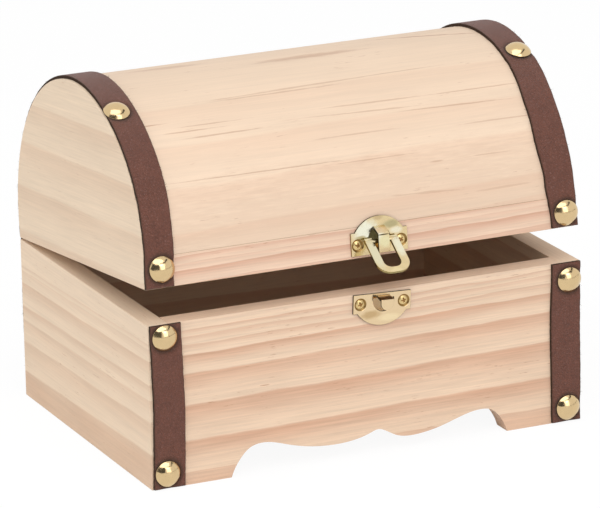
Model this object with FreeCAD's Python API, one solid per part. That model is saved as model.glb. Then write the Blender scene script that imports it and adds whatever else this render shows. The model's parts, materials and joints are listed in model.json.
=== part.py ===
import FreeCAD, Part
import math
import os

# A small pine keepsake chest: a board box with a scalloped apron, a domed lid on two butt
# hinges, leather straps held by dome nails, and a brass snap latch with a swinging loop.
# Millimetres. X runs along the front, Y from front to back, Z up from the floor.
# The chest is stored with its lid ajar and the latch loop swung out.
# The model is built about the centre of the box and then moved, so that the origin is the
# centre of the whole footprint on the floor, with the latch and the hinges counted in.

V = FreeCAD.Vector
AXIS_X = V(1, 0, 0)

# Box body
WIDTH = 168.0
DEPTH = 120.0
BODY_HEIGHT = 60.0
BOARD = 8.0
BOTTOM_HEIGHT = 12.0
BOTTOM_THICK = 3.0

# Apron edge of the front board, from the left foot to the right one: distance from the
# middle and height above the floor. The dip in the middle is a little right of centre.
APRON_POINTS = [
    (-53.7, 0.0), (-52.2, 3.4), (-49.6, 7.1), (-46.4, 9.9), (-41.8, 11.0), (-36.8, 10.3),
    (-31.1, 8.5), (-21.8, 6.4), (-14.0, 5.8), (-6.0, 6.3), (0.2, 7.9), (3.4, 8.8),
    (6.6, 7.6), (11.0, 5.3), (15.7, 4.5), (21.0, 4.8), (27.6, 6.0), (36.0, 8.5),
    (43.5, 9.9), (48.4, 9.0), (51.6, 5.8), (53.4, 2.6), (54.3, 0.0),
]

# Lid. The front of the dome has a shoulder under a broad crown, the back is one curve.
LID_GAP = 0.3
DOME_HEIGHT = 66.0
CROWN_RADIUS = 64.0
SHOULDER_RADIUS = 50.0
BACK_RADIUS = DEPTH / 2
RAIL_HEIGHT = 11.2
SKIN_THICK = 4.0
# The lid's right end board is thinner than the left one, and the strap reaches past it.
LID_RIGHT_BOARD = 6.6
LID_AJAR_DEG = 5.9

# Leather straps
STRAP_WIDTH = 11.3
STRAP_THICK = 1.2
STRAP_INSET = 0.6
STRAP_END_GAP = 0.4

# Dome nails
NAIL_RADIUS = 4.7
NAIL_HEIGHT = 2.4
NAIL_SHEET = 0.45
NAIL_SHANK_RADIUS = 0.7
NAIL_SHANK_LENGTH = 7.2
NAIL_POINT = 1.6

# Where the nails are, as they were driven by eye: distance along X, and height above the
# floor or above the lid's lower edge, or angle forwards from the top of the dome
BODY_NAIL_PLACES = {
    "front_left": [(-78.2, 5.7), (-78.0, 55.2)],
    "front_right": [(78.5, 5.5), (79.2, 53.5)],
    "back_left": [(-78.0, 5.8), (-78.0, 52.2)],
    "back_right": [(78.0, 5.8), (78.0, 52.2)],
}
LID_NAIL_PLACES = {
    "left": [(-77.8, 6.8), (-78.0, 6.4)],
    "right": [(78.6, 5.4), (78.0, 6.4)],
}
CROWN_NAIL_PLACES = {
    "left": [(-79.0, 29.7), (-78.0, -36.0)],
    "right": [(79.0, 26.4), (78.0, -36.0)],
}

# Hinges
HINGE_X = 46.0
HINGE_LENGTH = 20.0
HINGE_LEAF = 11.0
HINGE_SHEET = 0.8
KNUCKLE_RADIUS = 1.4
KNUCKLE_LENGTH = 6.2
KNUCKLE_GAP = 0.25
HINGE_PIN_RADIUS = 0.6
HINGE_PIN_CLEARANCE = 0.05
HINGE_AXIS_OUT = 1.5
HINGE_SCREW_X = 6.0
HINGE_SCREW_HEIGHT = 6.3

# Latch, measured from its middle line, from the lid's or the box's edge, and outwards
# from the wood
LATCH_X = 5.1
LATCH_SHEET = 0.8
LATCH_SCREW_X = 8.4
PLATE_HALF = 10.9
PLATE_BOTTOM = 1.0
PLATE_SHOULDER = 9.2
PLATE_TOP = 14.4
PLATE_STEP = 1.6
PLATE_SCREW_HEIGHT = 4.7
WINDOW_HALF = 4.4
WINDOW_BOTTOM = 5.8
WINDOW_TOP = 10.4
BRIDGE_WIDTH = 4.2
BRIDGE_OUT = 4.8
BRIDGE_SHEET = 0.7
BRIDGE_TUCK = 0.1
# How far a tongue rises from its bend to the face it leaves.
BEND_RISE = 0.9
BRIDGE_RIDGE = 8.7
BRIDGE_LOW = 2.0
CATCH_HALF = 11.2
CATCH_TOP = 59.4
CATCH_SHOULDER = 52.4
CATCH_BOTTOM = 47.6
CATCH_STEP = 1.7
CATCH_SCREW_HEIGHT = 55.8
CATCH_TILT_DEG = 2.5
NOSE_WIDTH = 5.0
NOSE_OFFSET = 0.3
NOSE_OUT = 4.7
NOSE_SHEET = 0.7
NOSE_TOP = 57.9
NOSE_TIP = 54.0
NICHE_HALF = 3.9
NICHE_OFFSET = 0.6
NICHE_TOP = 57.6
NICHE_BOTTOM = 52.6
POCKET_DEPTH = 2.5

# Latch loop, measured from its pivot line
LOOP_PIVOT_HEIGHT = 5.75
LOOP_PIVOT_OUT = 2.5
LOOP_HALF = 6.4
LOOP_BAND = 3.1
LOOP_FOOT_BAND = 2.4
LOOP_LENGTH = 15.0
LOOP_BAR_RADIUS = 0.8
LOOP_THICK = 1.0
LOOP_SHOULDER = 2.7
LOOP_FOOT_RADIUS = 5.0
LOOP_EYE_RADIUS = 2.6
LOOP_SWING_DEG = 50.6

# Small cross-head screws
SCREW_HEAD_RADIUS = 1.8
SCREW_HEAD_HEIGHT = 0.7
SCREW_SHANK_RADIUS = 0.8
SCREW_LENGTH = 6.0
SCREW_POINT = 1.5
SEAT_RADIUS = 2.35
SEAT_DEPTH = 0.4
CROSS_LENGTH = 2.2
CROSS_WIDTH = 0.45
CROSS_DEPTH = 0.45

# Places worked out from the sizes above
FRONT = -DEPTH / 2
BACK = DEPTH / 2
LID_BASE = BODY_HEIGHT + LID_GAP
CROWN_CENTRE = DOME_HEIGHT - CROWN_RADIUS
BACK_CENTRE = DOME_HEIGHT - BACK_RADIUS
SHOULDER_Y = DEPTH / 2 - SHOULDER_RADIUS
ARC_REACH = CROWN_RADIUS - SHOULDER_RADIUS
SHOULDER_Z = CROWN_CENTRE + math.sqrt(ARC_REACH ** 2 - SHOULDER_Y ** 2)
HINGE_AXIS = V(0, BACK + HINGE_AXIS_OUT, BODY_HEIGHT + LID_GAP / 2)
LOOP_PIVOT = V(LATCH_X, FRONT - LOOP_PIVOT_OUT, LID_BASE + LOOP_PIVOT_HEIGHT)

# The latch loop reaches further forwards than the hinges do backwards, so the box
# stands this far behind the centre of the whole footprint.
BOX_CENTRE_Y = 4.6


def box(x_low, x_high, y_low, y_high, z_low, z_high):
    size = (x_high - x_low, y_high - y_low, z_high - z_low)
    return Part.makeBox(*size, V(x_low, y_low, z_low))


def line(start, end):
    return Part.LineSegment(start, end).toShape()


def arc(start, middle, end):
    return Part.Arc(start, middle, end).toShape()


def slab(edges, direction):
    """The flat outline made by the edges, pulled along a direction."""
    return Part.Face(Part.Wire(edges)).extrude(direction)


def polygon_slab(points, direction):
    return Part.Face(Part.makePolygon(points + points[:1])).extrude(direction)


def turned_opening(shape):
    """A piece of the closed lid, turned about the hinge axis to where it stands ajar."""
    turned = shape.copy()
    turned.rotate(HINGE_AXIS, AXIS_X, -LID_AJAR_DEG)
    return turned


def pointed(shape, place, direction):
    """A fastener made along +Z, moved to a place and pointed along a direction."""
    moved = shape.copy()
    turn = FreeCAD.Rotation(V(0, 0, 1), direction)
    moved.Placement = FreeCAD.Placement(place, turn).multiply(moved.Placement)
    return moved


def without(shape, tools):
    for tool in tools:
        shape = shape.cut(tool)
    return shape


# ---------------------------------------------------------------- fasteners


def dome_nail():
    """A nail with a thin hollow dome head, standing on the plane z = 0."""
    outer = (NAIL_RADIUS ** 2 + NAIL_HEIGHT ** 2) / (2 * NAIL_HEIGHT)
    centre = NAIL_HEIGHT - outer
    inner = outer - NAIL_SHEET

    def on_arc(radius, height):
        return V(math.sqrt(radius ** 2 - (height - centre) ** 2), 0, height)

    rim = on_arc(inner, 0)
    root_height = centre + math.sqrt(inner ** 2 - NAIL_SHANK_RADIUS ** 2)
    root = V(NAIL_SHANK_RADIUS, 0, root_height)
    shoulder = V(NAIL_SHANK_RADIUS, 0, NAIL_POINT - NAIL_SHANK_LENGTH)
    top = V(0, 0, NAIL_HEIGHT)
    tip = V(0, 0, -NAIL_SHANK_LENGTH)
    edges = [
        arc(top, on_arc(outer, NAIL_HEIGHT / 2), V(NAIL_RADIUS, 0, 0)),
        line(V(NAIL_RADIUS, 0, 0), rim),
        arc(rim, on_arc(inner, root_height / 2), root),
        line(root, shoulder),
        line(shoulder, tip),
        line(tip, top),
    ]
    return Part.Face(Part.Wire(edges)).revolve(V(0, 0, 0), V(0, 0, 1), 360)


def cross_screw():
    """A small round-head screw with a cross recess, its head standing on z = 0."""
    height = SCREW_HEAD_HEIGHT
    radius = (SCREW_HEAD_RADIUS ** 2 + height ** 2) / (2 * height)
    half = math.sqrt(radius ** 2 - (height / 2 - height + radius) ** 2)
    top = V(0, 0, height)
    rim = V(SCREW_HEAD_RADIUS, 0, 0)
    neck = V(SCREW_SHANK_RADIUS, 0, 0)
    shoulder = V(SCREW_SHANK_RADIUS, 0, SCREW_POINT - SCREW_LENGTH)
    tip = V(0, 0, -SCREW_LENGTH)
    edges = [
        arc(top, V(half, 0, height / 2), rim),
        line(rim, neck),
        line(neck, shoulder),
        line(shoulder, tip),
        line(tip, top),
    ]
    screw = Part.Face(Part.Wire(edges)).revolve(V(0, 0, 0), V(0, 0, 1), 360)
    reach = CROSS_LENGTH / 2
    side = CROSS_WIDTH / 2
    floor = height - CROSS_DEPTH
    return without(screw, [
        box(-reach, reach, -side, side, floor, height),
        box(-side, side, -reach, reach, floor, height),
    ])


NAIL = dome_nail()
SCREW = cross_screw()
FORWARDS = V(0, -1, 0)
BACKWARDS = V(0, 1, 0)


# ---------------------------------------------------------------- box body


def apron_cut(mirrored):
    """The space below a board's scalloped lower edge, right through the board."""
    side = -1 if mirrored else 1
    face_y = BACK - BOARD if mirrored else FRONT
    points = [V(side * x, face_y, z) for x, z in APRON_POINTS]
    curve = Part.BSplineCurve()
    curve.interpolate(points)
    return slab([curve.toShape(), line(points[-1], points[0])], V(0, BOARD, 0))


def end_board(face_y, mirrored):
    half = WIDTH / 2 - BOARD
    board = box(-half, half, face_y, face_y + BOARD, 0, BODY_HEIGHT)
    return board.cut(apron_cut(mirrored))


def side_board(x_low):
    return box(x_low, x_low + BOARD, FRONT, BACK, 0, BODY_HEIGHT)


def bottom_panel():
    half = WIDTH / 2 - BOARD
    top = BOTTOM_HEIGHT + BOTTOM_THICK
    return box(-half, half, FRONT + BOARD, BACK - BOARD, BOTTOM_HEIGHT, top)


def strap_left_edge(side):
    """Where a strap starts along X: side is -1 on the left and 1 on the right."""
    outer = WIDTH / 2 - STRAP_INSET
    return -outer if side < 0 else outer - STRAP_WIDTH


def body_strap(side, y_low):
    left = strap_left_edge(side)
    bottom = STRAP_END_GAP
    top = BODY_HEIGHT - STRAP_END_GAP
    return box(left, left + STRAP_WIDTH, y_low, y_low + STRAP_THICK, bottom, top)


def body_nails(places, face_y, direction):
    y = face_y + direction.y * STRAP_THICK
    return [pointed(NAIL, V(x, y, z), direction) for x, z in places]


# ---------------------------------------------------------------- lid, closed


def dome_line(offset, foot):
    """The lid's outline seen from the end, standing out by an offset from the wood."""
    half = DEPTH / 2 + offset
    join = math.asin(SHOULDER_Y / ARC_REACH)
    foot_angle = back_foot_angle(offset, foot)

    def at(y, z):
        return V(0, y, LID_BASE + z)

    def on_shoulder(angle):
        reach = SHOULDER_RADIUS + offset
        return at(-SHOULDER_Y - reach * math.sin(angle), SHOULDER_Z + reach * math.cos(angle))

    def on_crown(angle):
        reach = CROWN_RADIUS + offset
        return at(-reach * math.sin(angle), CROWN_CENTRE + reach * math.cos(angle))

    def on_back(angle):
        reach = BACK_RADIUS + offset
        return at(reach * math.sin(angle), BACK_CENTRE + reach * math.cos(angle))

    lines = [
        line(at(-half, foot), at(-half, SHOULDER_Z)),
        arc(at(-half, SHOULDER_Z), on_shoulder((join + math.pi / 2) / 2), on_shoulder(join)),
        arc(on_shoulder(join), on_crown(join / 2), on_crown(0)),
        arc(on_crown(0), on_back(foot_angle / 2), on_back(foot_angle)),
    ]
    if foot < BACK_CENTRE:
        lines.append(line(at(half, BACK_CENTRE), at(half, foot)))
    return lines


def back_foot_angle(offset, foot):
    """How far round from the top the back curve goes, down to a height or to upright."""
    rise = max(0.0, foot - BACK_CENTRE)
    return math.acos(rise / (BACK_RADIUS + offset))


def dome_band(x_low, length, low, high, foot):
    """A sheet bent over the dome, between two offsets from the wood's surface."""
    outer = dome_line(high, foot)
    inner = dome_line(low, foot)
    ends = []
    z = LID_BASE + foot
    ends.append(line(V(0, FRONT - high, z), V(0, FRONT - low, z)))
    y_out, y_in = [(BACK_RADIUS + offset) * math.sin(back_foot_angle(offset, foot))
                   for offset in (high, low)]
    ends.append(line(V(0, y_out, z), V(0, y_in, z)))
    wire = Part.Wire(Part.__sortEdges__(outer + inner + ends))
    band = Part.Face(wire).extrude(V(length, 0, 0))
    band.translate(V(x_low, 0, 0))
    return band


def full_dome(x_low, length):
    """The whole of the lid's outline, foot and all, as a solid along X."""
    foot = line(V(0, BACK, LID_BASE), V(0, FRONT, LID_BASE))
    solid = slab(dome_line(0, 0) + [foot], V(length, 0, 0))
    solid.translate(V(x_low, 0, 0))
    return solid


def lid_rail(face_y):
    """A rail along the lid's foot, planed to the lid's outline."""
    half = WIDTH / 2 - BOARD
    top = LID_BASE + RAIL_HEIGHT
    rail = box(-half, half, face_y, face_y + BOARD, LID_BASE, top)
    return rail.common(full_dome(-half, 2 * half))


def lid_skin():
    half = WIDTH / 2 - BOARD
    return dome_band(-half, 2 * half, -SKIN_THICK, 0, RAIL_HEIGHT)


def lid_strap(side):
    left = strap_left_edge(side)
    return dome_band(left, STRAP_WIDTH, 0, STRAP_THICK, STRAP_END_GAP)


def lid_nails(name):
    """The nails at the front and back foot of a lid strap, and the two on its crown."""
    nails = []
    for direction, (x, height) in zip((FORWARDS, BACKWARDS), LID_NAIL_PLACES[name]):
        face = direction.y * (DEPTH / 2 + STRAP_THICK)
        nails.append(pointed(NAIL, V(x, face, LID_BASE + height), direction))
    for x, degrees in CROWN_NAIL_PLACES[name]:
        nails.append(pointed(NAIL, *on_strap(x, math.radians(degrees))))
    return nails


def on_strap(x, angle):
    """A place on a lid strap and the way it faces, at an angle forwards from the top."""
    outwards = V(0, -math.sin(angle), math.cos(angle))
    if angle < 0:
        height, radius = BACK_CENTRE, BACK_RADIUS
    else:
        height, radius = CROWN_CENTRE, CROWN_RADIUS
    return V(x, 0, LID_BASE + height) + outwards * (radius + STRAP_THICK), outwards


# ---------------------------------------------------------------- hinges


def hinge_screws(height):
    y = BACK + HINGE_SHEET
    screws = []
    for side in (-1, 1):
        for offset in (-HINGE_SCREW_X, HINGE_SCREW_X):
            place = V(side * HINGE_X + offset, y, height)
            screws.append(pointed(SCREW, place, BACKWARDS))
    return screws


def knuckle(x_low, length, hole_radius):
    base = V(x_low, HINGE_AXIS.y, HINGE_AXIS.z)
    barrel = Part.makeCylinder(KNUCKLE_RADIUS, length, base, AXIS_X)
    return barrel.cut(Part.makeCylinder(hole_radius, length, base, AXIS_X))


def knuckle_spans(middle_x):
    """The outer two knuckles and the middle one, as (start, length) along X."""
    left = middle_x - HINGE_LENGTH / 2
    middle_length = HINGE_LENGTH - 2 * (KNUCKLE_LENGTH + KNUCKLE_GAP)
    outer = [(left, KNUCKLE_LENGTH), (left + HINGE_LENGTH - KNUCKLE_LENGTH, KNUCKLE_LENGTH)]
    return outer, [(middle_x - middle_length / 2, middle_length)]


def hinge_leaf(middle_x, own, other, low, high, hole_radius):
    """One leaf: a plate on the wood, notched for the other leaf's knuckles."""
    left = middle_x - HINGE_LENGTH / 2
    leaf = box(left, left + HINGE_LENGTH, BACK, BACK + HINGE_SHEET, low, high)
    room = KNUCKLE_RADIUS + KNUCKLE_GAP
    for start, length in other:
        notch = box(start - KNUCKLE_GAP, start + length + KNUCKLE_GAP, BACK,
                    BACK + HINGE_SHEET, HINGE_AXIS.z - room, HINGE_AXIS.z + room)
        leaf = leaf.cut(notch)
    bore = Part.makeCylinder(hole_radius, HINGE_LENGTH, V(left, HINGE_AXIS.y, HINGE_AXIS.z),
                             AXIS_X)
    for start, length in own:
        leaf = leaf.fuse(knuckle(start, length, hole_radius))
    return leaf.cut(bore).removeSplitter()


def lower_leaf(middle_x):
    outer, middle = knuckle_spans(middle_x)
    low = BODY_HEIGHT - HINGE_LEAF
    return hinge_leaf(middle_x, outer, middle, low, HINGE_AXIS.z, HINGE_PIN_RADIUS)


def upper_leaf(middle_x):
    outer, middle = knuckle_spans(middle_x)
    high = LID_BASE + HINGE_LEAF
    bore = HINGE_PIN_RADIUS + HINGE_PIN_CLEARANCE
    return hinge_leaf(middle_x, middle, outer, HINGE_AXIS.z, high, bore)


def hinge_pin(middle_x):
    base = V(middle_x - HINGE_LENGTH / 2, HINGE_AXIS.y, HINGE_AXIS.z)
    return Part.makeCylinder(HINGE_PIN_RADIUS, HINGE_LENGTH, base, AXIS_X)


# ---------------------------------------------------------------- latch


def on_front(x, z, out=0.0):
    """A point of the latch: along the front, up, and outwards from the wood."""
    return V(LATCH_X + x, FRONT - out, z)


def plate_slab(half, base, shoulder, top, step, out, thickness):
    """A latch plate: square at its base, with stepped shoulders and a rounded top."""
    edges = [
        line(on_front(-half, base, out), on_front(half, base, out)),
        line(on_front(half, base, out), on_front(half, shoulder, out)),
        line(on_front(half, shoulder, out), on_front(half - step, shoulder, out)),
        arc(on_front(half - step, shoulder, out), on_front(0, top, out),
            on_front(step - half, shoulder, out)),
        line(on_front(step - half, shoulder, out), on_front(-half, shoulder, out)),
        line(on_front(-half, shoulder, out), on_front(-half, base, out)),
    ]
    return slab(edges, V(0, -thickness, 0))


def arch_slab(offset, half, base, top, direction=FORWARDS * LATCH_SHEET):
    """A D-shaped opening, straight at its base, pulled out from the wood's face."""
    edges = [
        line(on_front(offset - half, base), on_front(offset + half, base)),
        arc(on_front(offset + half, base), on_front(offset, top),
            on_front(offset - half, base)),
    ]
    return slab(edges, direction)


def plate_window(direction=FORWARDS * LATCH_SHEET):
    z = LID_BASE
    return arch_slab(0, WINDOW_HALF, z + WINDOW_BOTTOM, z + WINDOW_TOP, direction)


def catch_niche(direction=FORWARDS * LATCH_SHEET):
    return arch_slab(NICHE_OFFSET, NICHE_HALF, NICHE_TOP, NICHE_BOTTOM, direction)


def bent_strip(outline, offset, width):
    """A strip of sheet bent as the outline of (out, height) points, pulled along X."""
    points = [on_front(offset - width / 2, z, out) for out, z in outline]
    return polygon_slab(points, V(width, 0, 0))


def latch_screws(middle_z):
    """The two screws of a latch plate, their heads sunk in its seats."""
    out = LATCH_SHEET - SEAT_DEPTH
    places = [on_front(x, middle_z, out) for x in (-LATCH_SCREW_X, LATCH_SCREW_X)]
    return [pointed(SCREW, place, FORWARDS) for place in places]


def with_seats(plate, middle_z):
    """A latch plate with a shallow coned seat round each screw head."""
    seats = []
    for x in (-LATCH_SCREW_X, LATCH_SCREW_X):
        floor = on_front(x, middle_z, LATCH_SHEET - SEAT_DEPTH)
        seats.append(Part.makeCone(SCREW_HEAD_RADIUS, SEAT_RADIUS, SEAT_DEPTH, floor, FORWARDS))
    return without(plate, seats)


def latch_plate():
    z = LID_BASE
    plate = plate_slab(PLATE_HALF, z + PLATE_BOTTOM, z + PLATE_SHOULDER, z + PLATE_TOP,
                       PLATE_STEP, 0, LATCH_SHEET)
    plate = plate.cut(plate_window())
    inner = BRIDGE_OUT - BRIDGE_SHEET
    outline = [
        (0, z + WINDOW_TOP + BEND_RISE),
        (BRIDGE_OUT, z + BRIDGE_RIDGE),
        (BRIDGE_OUT, z + BRIDGE_LOW),
        (LATCH_SHEET, z + PLATE_BOTTOM + BRIDGE_TUCK),
        (LATCH_SHEET, z + PLATE_BOTTOM + BEND_RISE),
        (inner, z + BRIDGE_LOW + BRIDGE_SHEET),
        (inner, z + BRIDGE_RIDGE - BRIDGE_SHEET / 2),
        (0, z + WINDOW_TOP - BRIDGE_TUCK),
    ]
    plate = plate.fuse(bent_strip(outline, 0, BRIDGE_WIDTH)).removeSplitter()
    return with_seats(plate, z + PLATE_SCREW_HEIGHT)


def nose():
    """The bent tongue that the loop snaps over, with a rounded tip."""
    inner = NOSE_OUT - NOSE_SHEET
    outline = [
        (0, NOSE_TOP + BEND_RISE),
        (NOSE_OUT, NOSE_TOP),
        (NOSE_OUT, NOSE_TIP),
        (inner, NOSE_TIP),
        (inner, NOSE_TOP - NOSE_SHEET),
        (0, NOSE_TOP + BEND_RISE - NOSE_SHEET),
    ]
    strip = bent_strip(outline, NOSE_OFFSET, NOSE_WIDTH)
    half = NOSE_WIDTH / 2
    round_z = NOSE_TIP + half
    high = NOSE_TOP + 2 * BEND_RISE
    edges = [
        line(on_front(NOSE_OFFSET - half, high), on_front(NOSE_OFFSET - half, round_z)),
        arc(on_front(NOSE_OFFSET - half, round_z), on_front(NOSE_OFFSET, NOSE_TIP),
            on_front(NOSE_OFFSET + half, round_z)),
        line(on_front(NOSE_OFFSET + half, round_z), on_front(NOSE_OFFSET + half, high)),
        line(on_front(NOSE_OFFSET + half, high), on_front(NOSE_OFFSET - half, high)),
    ]
    return strip.common(slab(edges, V(0, -NOSE_OUT, 0)))


def tilted_catch(shape):
    """The catch plate sits a little crooked on the box front."""
    tilted = shape.copy()
    middle = on_front(0, (CATCH_TOP + CATCH_BOTTOM) / 2)
    tilted.rotate(middle, V(0, 1, 0), CATCH_TILT_DEG)
    return tilted


def catch_pocket():
    """The pocket bored in the front board behind the catch plate's opening."""
    return tilted_catch(catch_niche(BACKWARDS * POCKET_DEPTH))


def catch_plate():
    plate = plate_slab(CATCH_HALF, CATCH_TOP, CATCH_SHOULDER, CATCH_BOTTOM, CATCH_STEP, 0,
                       LATCH_SHEET)
    plate = plate.cut(catch_niche()).fuse(nose()).removeSplitter()
    return with_seats(plate, CATCH_SCREW_HEIGHT)


def latch_loop():
    """A flat stamped loop with a rounded foot, hanging from a round bar."""
    top = LOOP_SHOULDER / 2
    half = LOOP_HALF
    foot = LOOP_FOOT_RADIUS
    bend = foot * (1 - math.sqrt(0.5))
    low = -LOOP_LENGTH

    def at(x, z):
        return V(LOOP_PIVOT.x + x, LOOP_PIVOT.y + LOOP_THICK / 2, LOOP_PIVOT.z + z)

    outer = [
        line(at(-half, top), at(half, top)),
        line(at(half, top), at(half, low + foot)),
        arc(at(half, low + foot), at(half - bend, low + bend), at(half - foot, low)),
        line(at(half - foot, low), at(foot - half, low)),
        arc(at(foot - half, low), at(bend - half, low + bend), at(-half, low + foot)),
        line(at(-half, low + foot), at(-half, top)),
    ]
    half = LOOP_HALF - LOOP_BAND
    low = LOOP_FOOT_BAND - LOOP_LENGTH
    eye = LOOP_EYE_RADIUS
    bend = eye * (1 - math.sqrt(0.5))
    inner = [
        line(at(-half, top), at(half, top)),
        line(at(half, top), at(half, low + eye)),
        arc(at(half, low + eye), at(half - bend, low + bend), at(half - eye, low)),
        line(at(half - eye, low), at(eye - half, low)),
        arc(at(eye - half, low), at(bend - half, low + bend), at(-half, low + eye)),
        line(at(-half, low + eye), at(-half, top)),
    ]
    away = V(0, -LOOP_THICK, 0)
    loop = slab(outer, away).cut(slab(inner, away))
    start = LOOP_PIVOT - V(LOOP_HALF, 0, 0)
    bar = Part.makeCylinder(LOOP_BAR_RADIUS, 2 * LOOP_HALF, start, AXIS_X)
    loop = loop.fuse(bar).removeSplitter()
    loop.rotate(LOOP_PIVOT, AXIS_X, -LOOP_SWING_DEG)
    return loop


# ---------------------------------------------------------------- all pieces


def body_pieces():
    pieces = {
        "front_board": end_board(FRONT, False).cut(catch_pocket()),
        "back_board": end_board(BACK - BOARD, True),
        "left_side_board": side_board(-WIDTH / 2),
        "right_side_board": side_board(WIDTH / 2 - BOARD),
        "bottom_panel": bottom_panel(),
        "catch_plate": tilted_catch(catch_plate()),
    }
    fasteners = {}
    corners = [
        ("front_left", -1, FRONT, FORWARDS),
        ("front_right", 1, FRONT, FORWARDS),
        ("back_left", -1, BACK, BACKWARDS),
        ("back_right", 1, BACK, BACKWARDS),
    ]
    for name, side, face_y, direction in corners:
        y_low = face_y if direction.y > 0 else face_y - STRAP_THICK
        pieces["body_strap_" + name] = body_strap(side, y_low)
        places = BODY_NAIL_PLACES[name]
        fasteners["body_nails_" + name] = body_nails(places, face_y, direction)
    screws = latch_screws(CATCH_SCREW_HEIGHT)
    fasteners["catch_screws"] = [tilted_catch(screw) for screw in screws]
    fasteners["hinge_lower_screws"] = hinge_screws(BODY_HEIGHT - HINGE_SCREW_HEIGHT)
    for name, middle_x in (("left", -HINGE_X), ("right", HINGE_X)):
        pieces["hinge_lower_leaf_" + name] = lower_leaf(middle_x)
        pieces["hinge_pin_" + name] = hinge_pin(middle_x)
    return pieces, fasteners


def lid_pieces():
    pieces = {
        "lid_left_end": full_dome(-WIDTH / 2, BOARD),
        "lid_right_end": full_dome(WIDTH / 2 - BOARD, LID_RIGHT_BOARD),
        "lid_front_rail": lid_rail(FRONT).cut(plate_window(BACKWARDS * POCKET_DEPTH)),
        "lid_back_rail": lid_rail(BACK - BOARD),
        "lid_top_skin": lid_skin(),
        "lid_strap_left": lid_strap(-1),
        "lid_strap_right": lid_strap(1),
        "latch_plate": latch_plate(),
        "hinge_upper_leaf_left": upper_leaf(-HINGE_X),
        "hinge_upper_leaf_right": upper_leaf(HINGE_X),
    }
    fasteners = {
        "lid_nails_left": lid_nails("left"),
        "lid_nails_right": lid_nails("right"),
        "latch_plate_screws": latch_screws(LID_BASE + PLATE_SCREW_HEIGHT),
        "hinge_upper_screws": hinge_screws(LID_BASE + HINGE_SCREW_HEIGHT),
    }
    return pieces, fasteners


def with_fasteners(pieces, fasteners):
    """Drill every piece for the fasteners that reach it, then add the fasteners."""
    drilled = {}
    for name, shape in pieces.items():
        for group in fasteners.values():
            near = [f for f in group if shape.BoundBox.intersect(f.BoundBox)]
            shape = without(shape, near)
        drilled[name] = shape
    for name, group in fasteners.items():
        drilled[name] = Part.makeCompound(group)
    return drilled


def export(pieces):
    for name, shape in pieces.items():
        moved = shape.copy()
        moved.translate(V(0, BOX_CENTRE_Y, 0))
        moved.exportStep("parts/" + name + ".step")


def main():
    os.makedirs("parts", exist_ok=True)
    export(with_fasteners(*body_pieces()))
    closed = with_fasteners(*lid_pieces())
    closed["latch_loop"] = latch_loop()
    export({name: turned_opening(shape) for name, shape in closed.items()})


main()
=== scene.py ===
"""A small domed pine chest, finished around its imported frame.

Every size is in metres unless its name says otherwise. Grain, leather and brass are
node materials on object coordinates; straps, nails, screws and loose fibres are grown
by geometry node trees and then kept as plain meshes.
"""

import json
import math

import bmesh
import bpy
from bpy.props import (
    FloatProperty, FloatVectorProperty, IntProperty, PointerProperty,
)
from bpy.types import Operator, Panel, PropertyGroup
from mathutils import Matrix, Vector


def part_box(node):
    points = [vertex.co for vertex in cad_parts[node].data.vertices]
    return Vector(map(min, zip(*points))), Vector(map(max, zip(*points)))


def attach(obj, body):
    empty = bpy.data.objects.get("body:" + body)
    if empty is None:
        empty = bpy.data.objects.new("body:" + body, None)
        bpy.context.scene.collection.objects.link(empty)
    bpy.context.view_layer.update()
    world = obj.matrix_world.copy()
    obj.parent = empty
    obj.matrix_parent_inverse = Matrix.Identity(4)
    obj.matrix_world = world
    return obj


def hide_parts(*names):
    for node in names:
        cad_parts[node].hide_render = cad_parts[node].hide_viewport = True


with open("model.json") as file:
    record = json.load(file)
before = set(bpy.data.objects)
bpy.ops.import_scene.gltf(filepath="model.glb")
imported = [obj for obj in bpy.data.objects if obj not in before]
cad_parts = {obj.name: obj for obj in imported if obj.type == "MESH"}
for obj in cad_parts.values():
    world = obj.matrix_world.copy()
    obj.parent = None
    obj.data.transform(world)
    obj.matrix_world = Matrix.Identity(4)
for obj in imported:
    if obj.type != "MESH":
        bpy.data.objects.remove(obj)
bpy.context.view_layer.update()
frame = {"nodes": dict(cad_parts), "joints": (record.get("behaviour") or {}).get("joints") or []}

bl_info = {
    "name": "Domed pine chest",
    "version": (1, 0, 0),
    "blender": (4, 5, 0),
    "location": "View3D > Sidebar > Chest",
    "description": "Finishes a domed pine chest: boards, straps, dome nails, latch and hinges",
    "category": "Object",
}

MM = 0.001

# ---------------------------------------------------------------- places from the frame

NODES = frame["nodes"]
JOINTS = {joint["name"]: joint for joint in frame["joints"]}
HINGE_PLACE = Vector(JOINTS["lid_hinge"]["pos_m"])
HINGE_AXIS = Vector(JOINTS["lid_hinge"]["axis"])
LID_AJAR = -math.radians(JOINTS["lid_hinge"]["range_deg"][0])

# From where a point of the lid is when closed to where it is at rest, ajar.
TO_AJAR = (
    Matrix.Translation(HINGE_PLACE)
    @ Matrix.Rotation(LID_AJAR, 4, HINGE_AXIS)
    @ Matrix.Translation(-HINGE_PLACE)
)
TO_CLOSED = TO_AJAR.inverted()

SIDE_LOW, SIDE_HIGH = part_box("left_side_board")
BOX_CENTRE_Y = (SIDE_LOW.y + SIDE_HIGH.y) / 2
BOX_DEPTH = SIDE_HIGH.y - SIDE_LOW.y
BODY_TOP = SIDE_HIGH.z
LID_BASE = 2 * HINGE_PLACE.z - BODY_TOP
STRAP_LOW, STRAP_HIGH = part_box("body_strap_front_left")
STRAP_THICK = STRAP_HIGH.y - STRAP_LOW.y
STRAP_FOOT = STRAP_LOW.z
LATCH_X = JOINTS["loop_swing"]["pos_m"][0]


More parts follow.
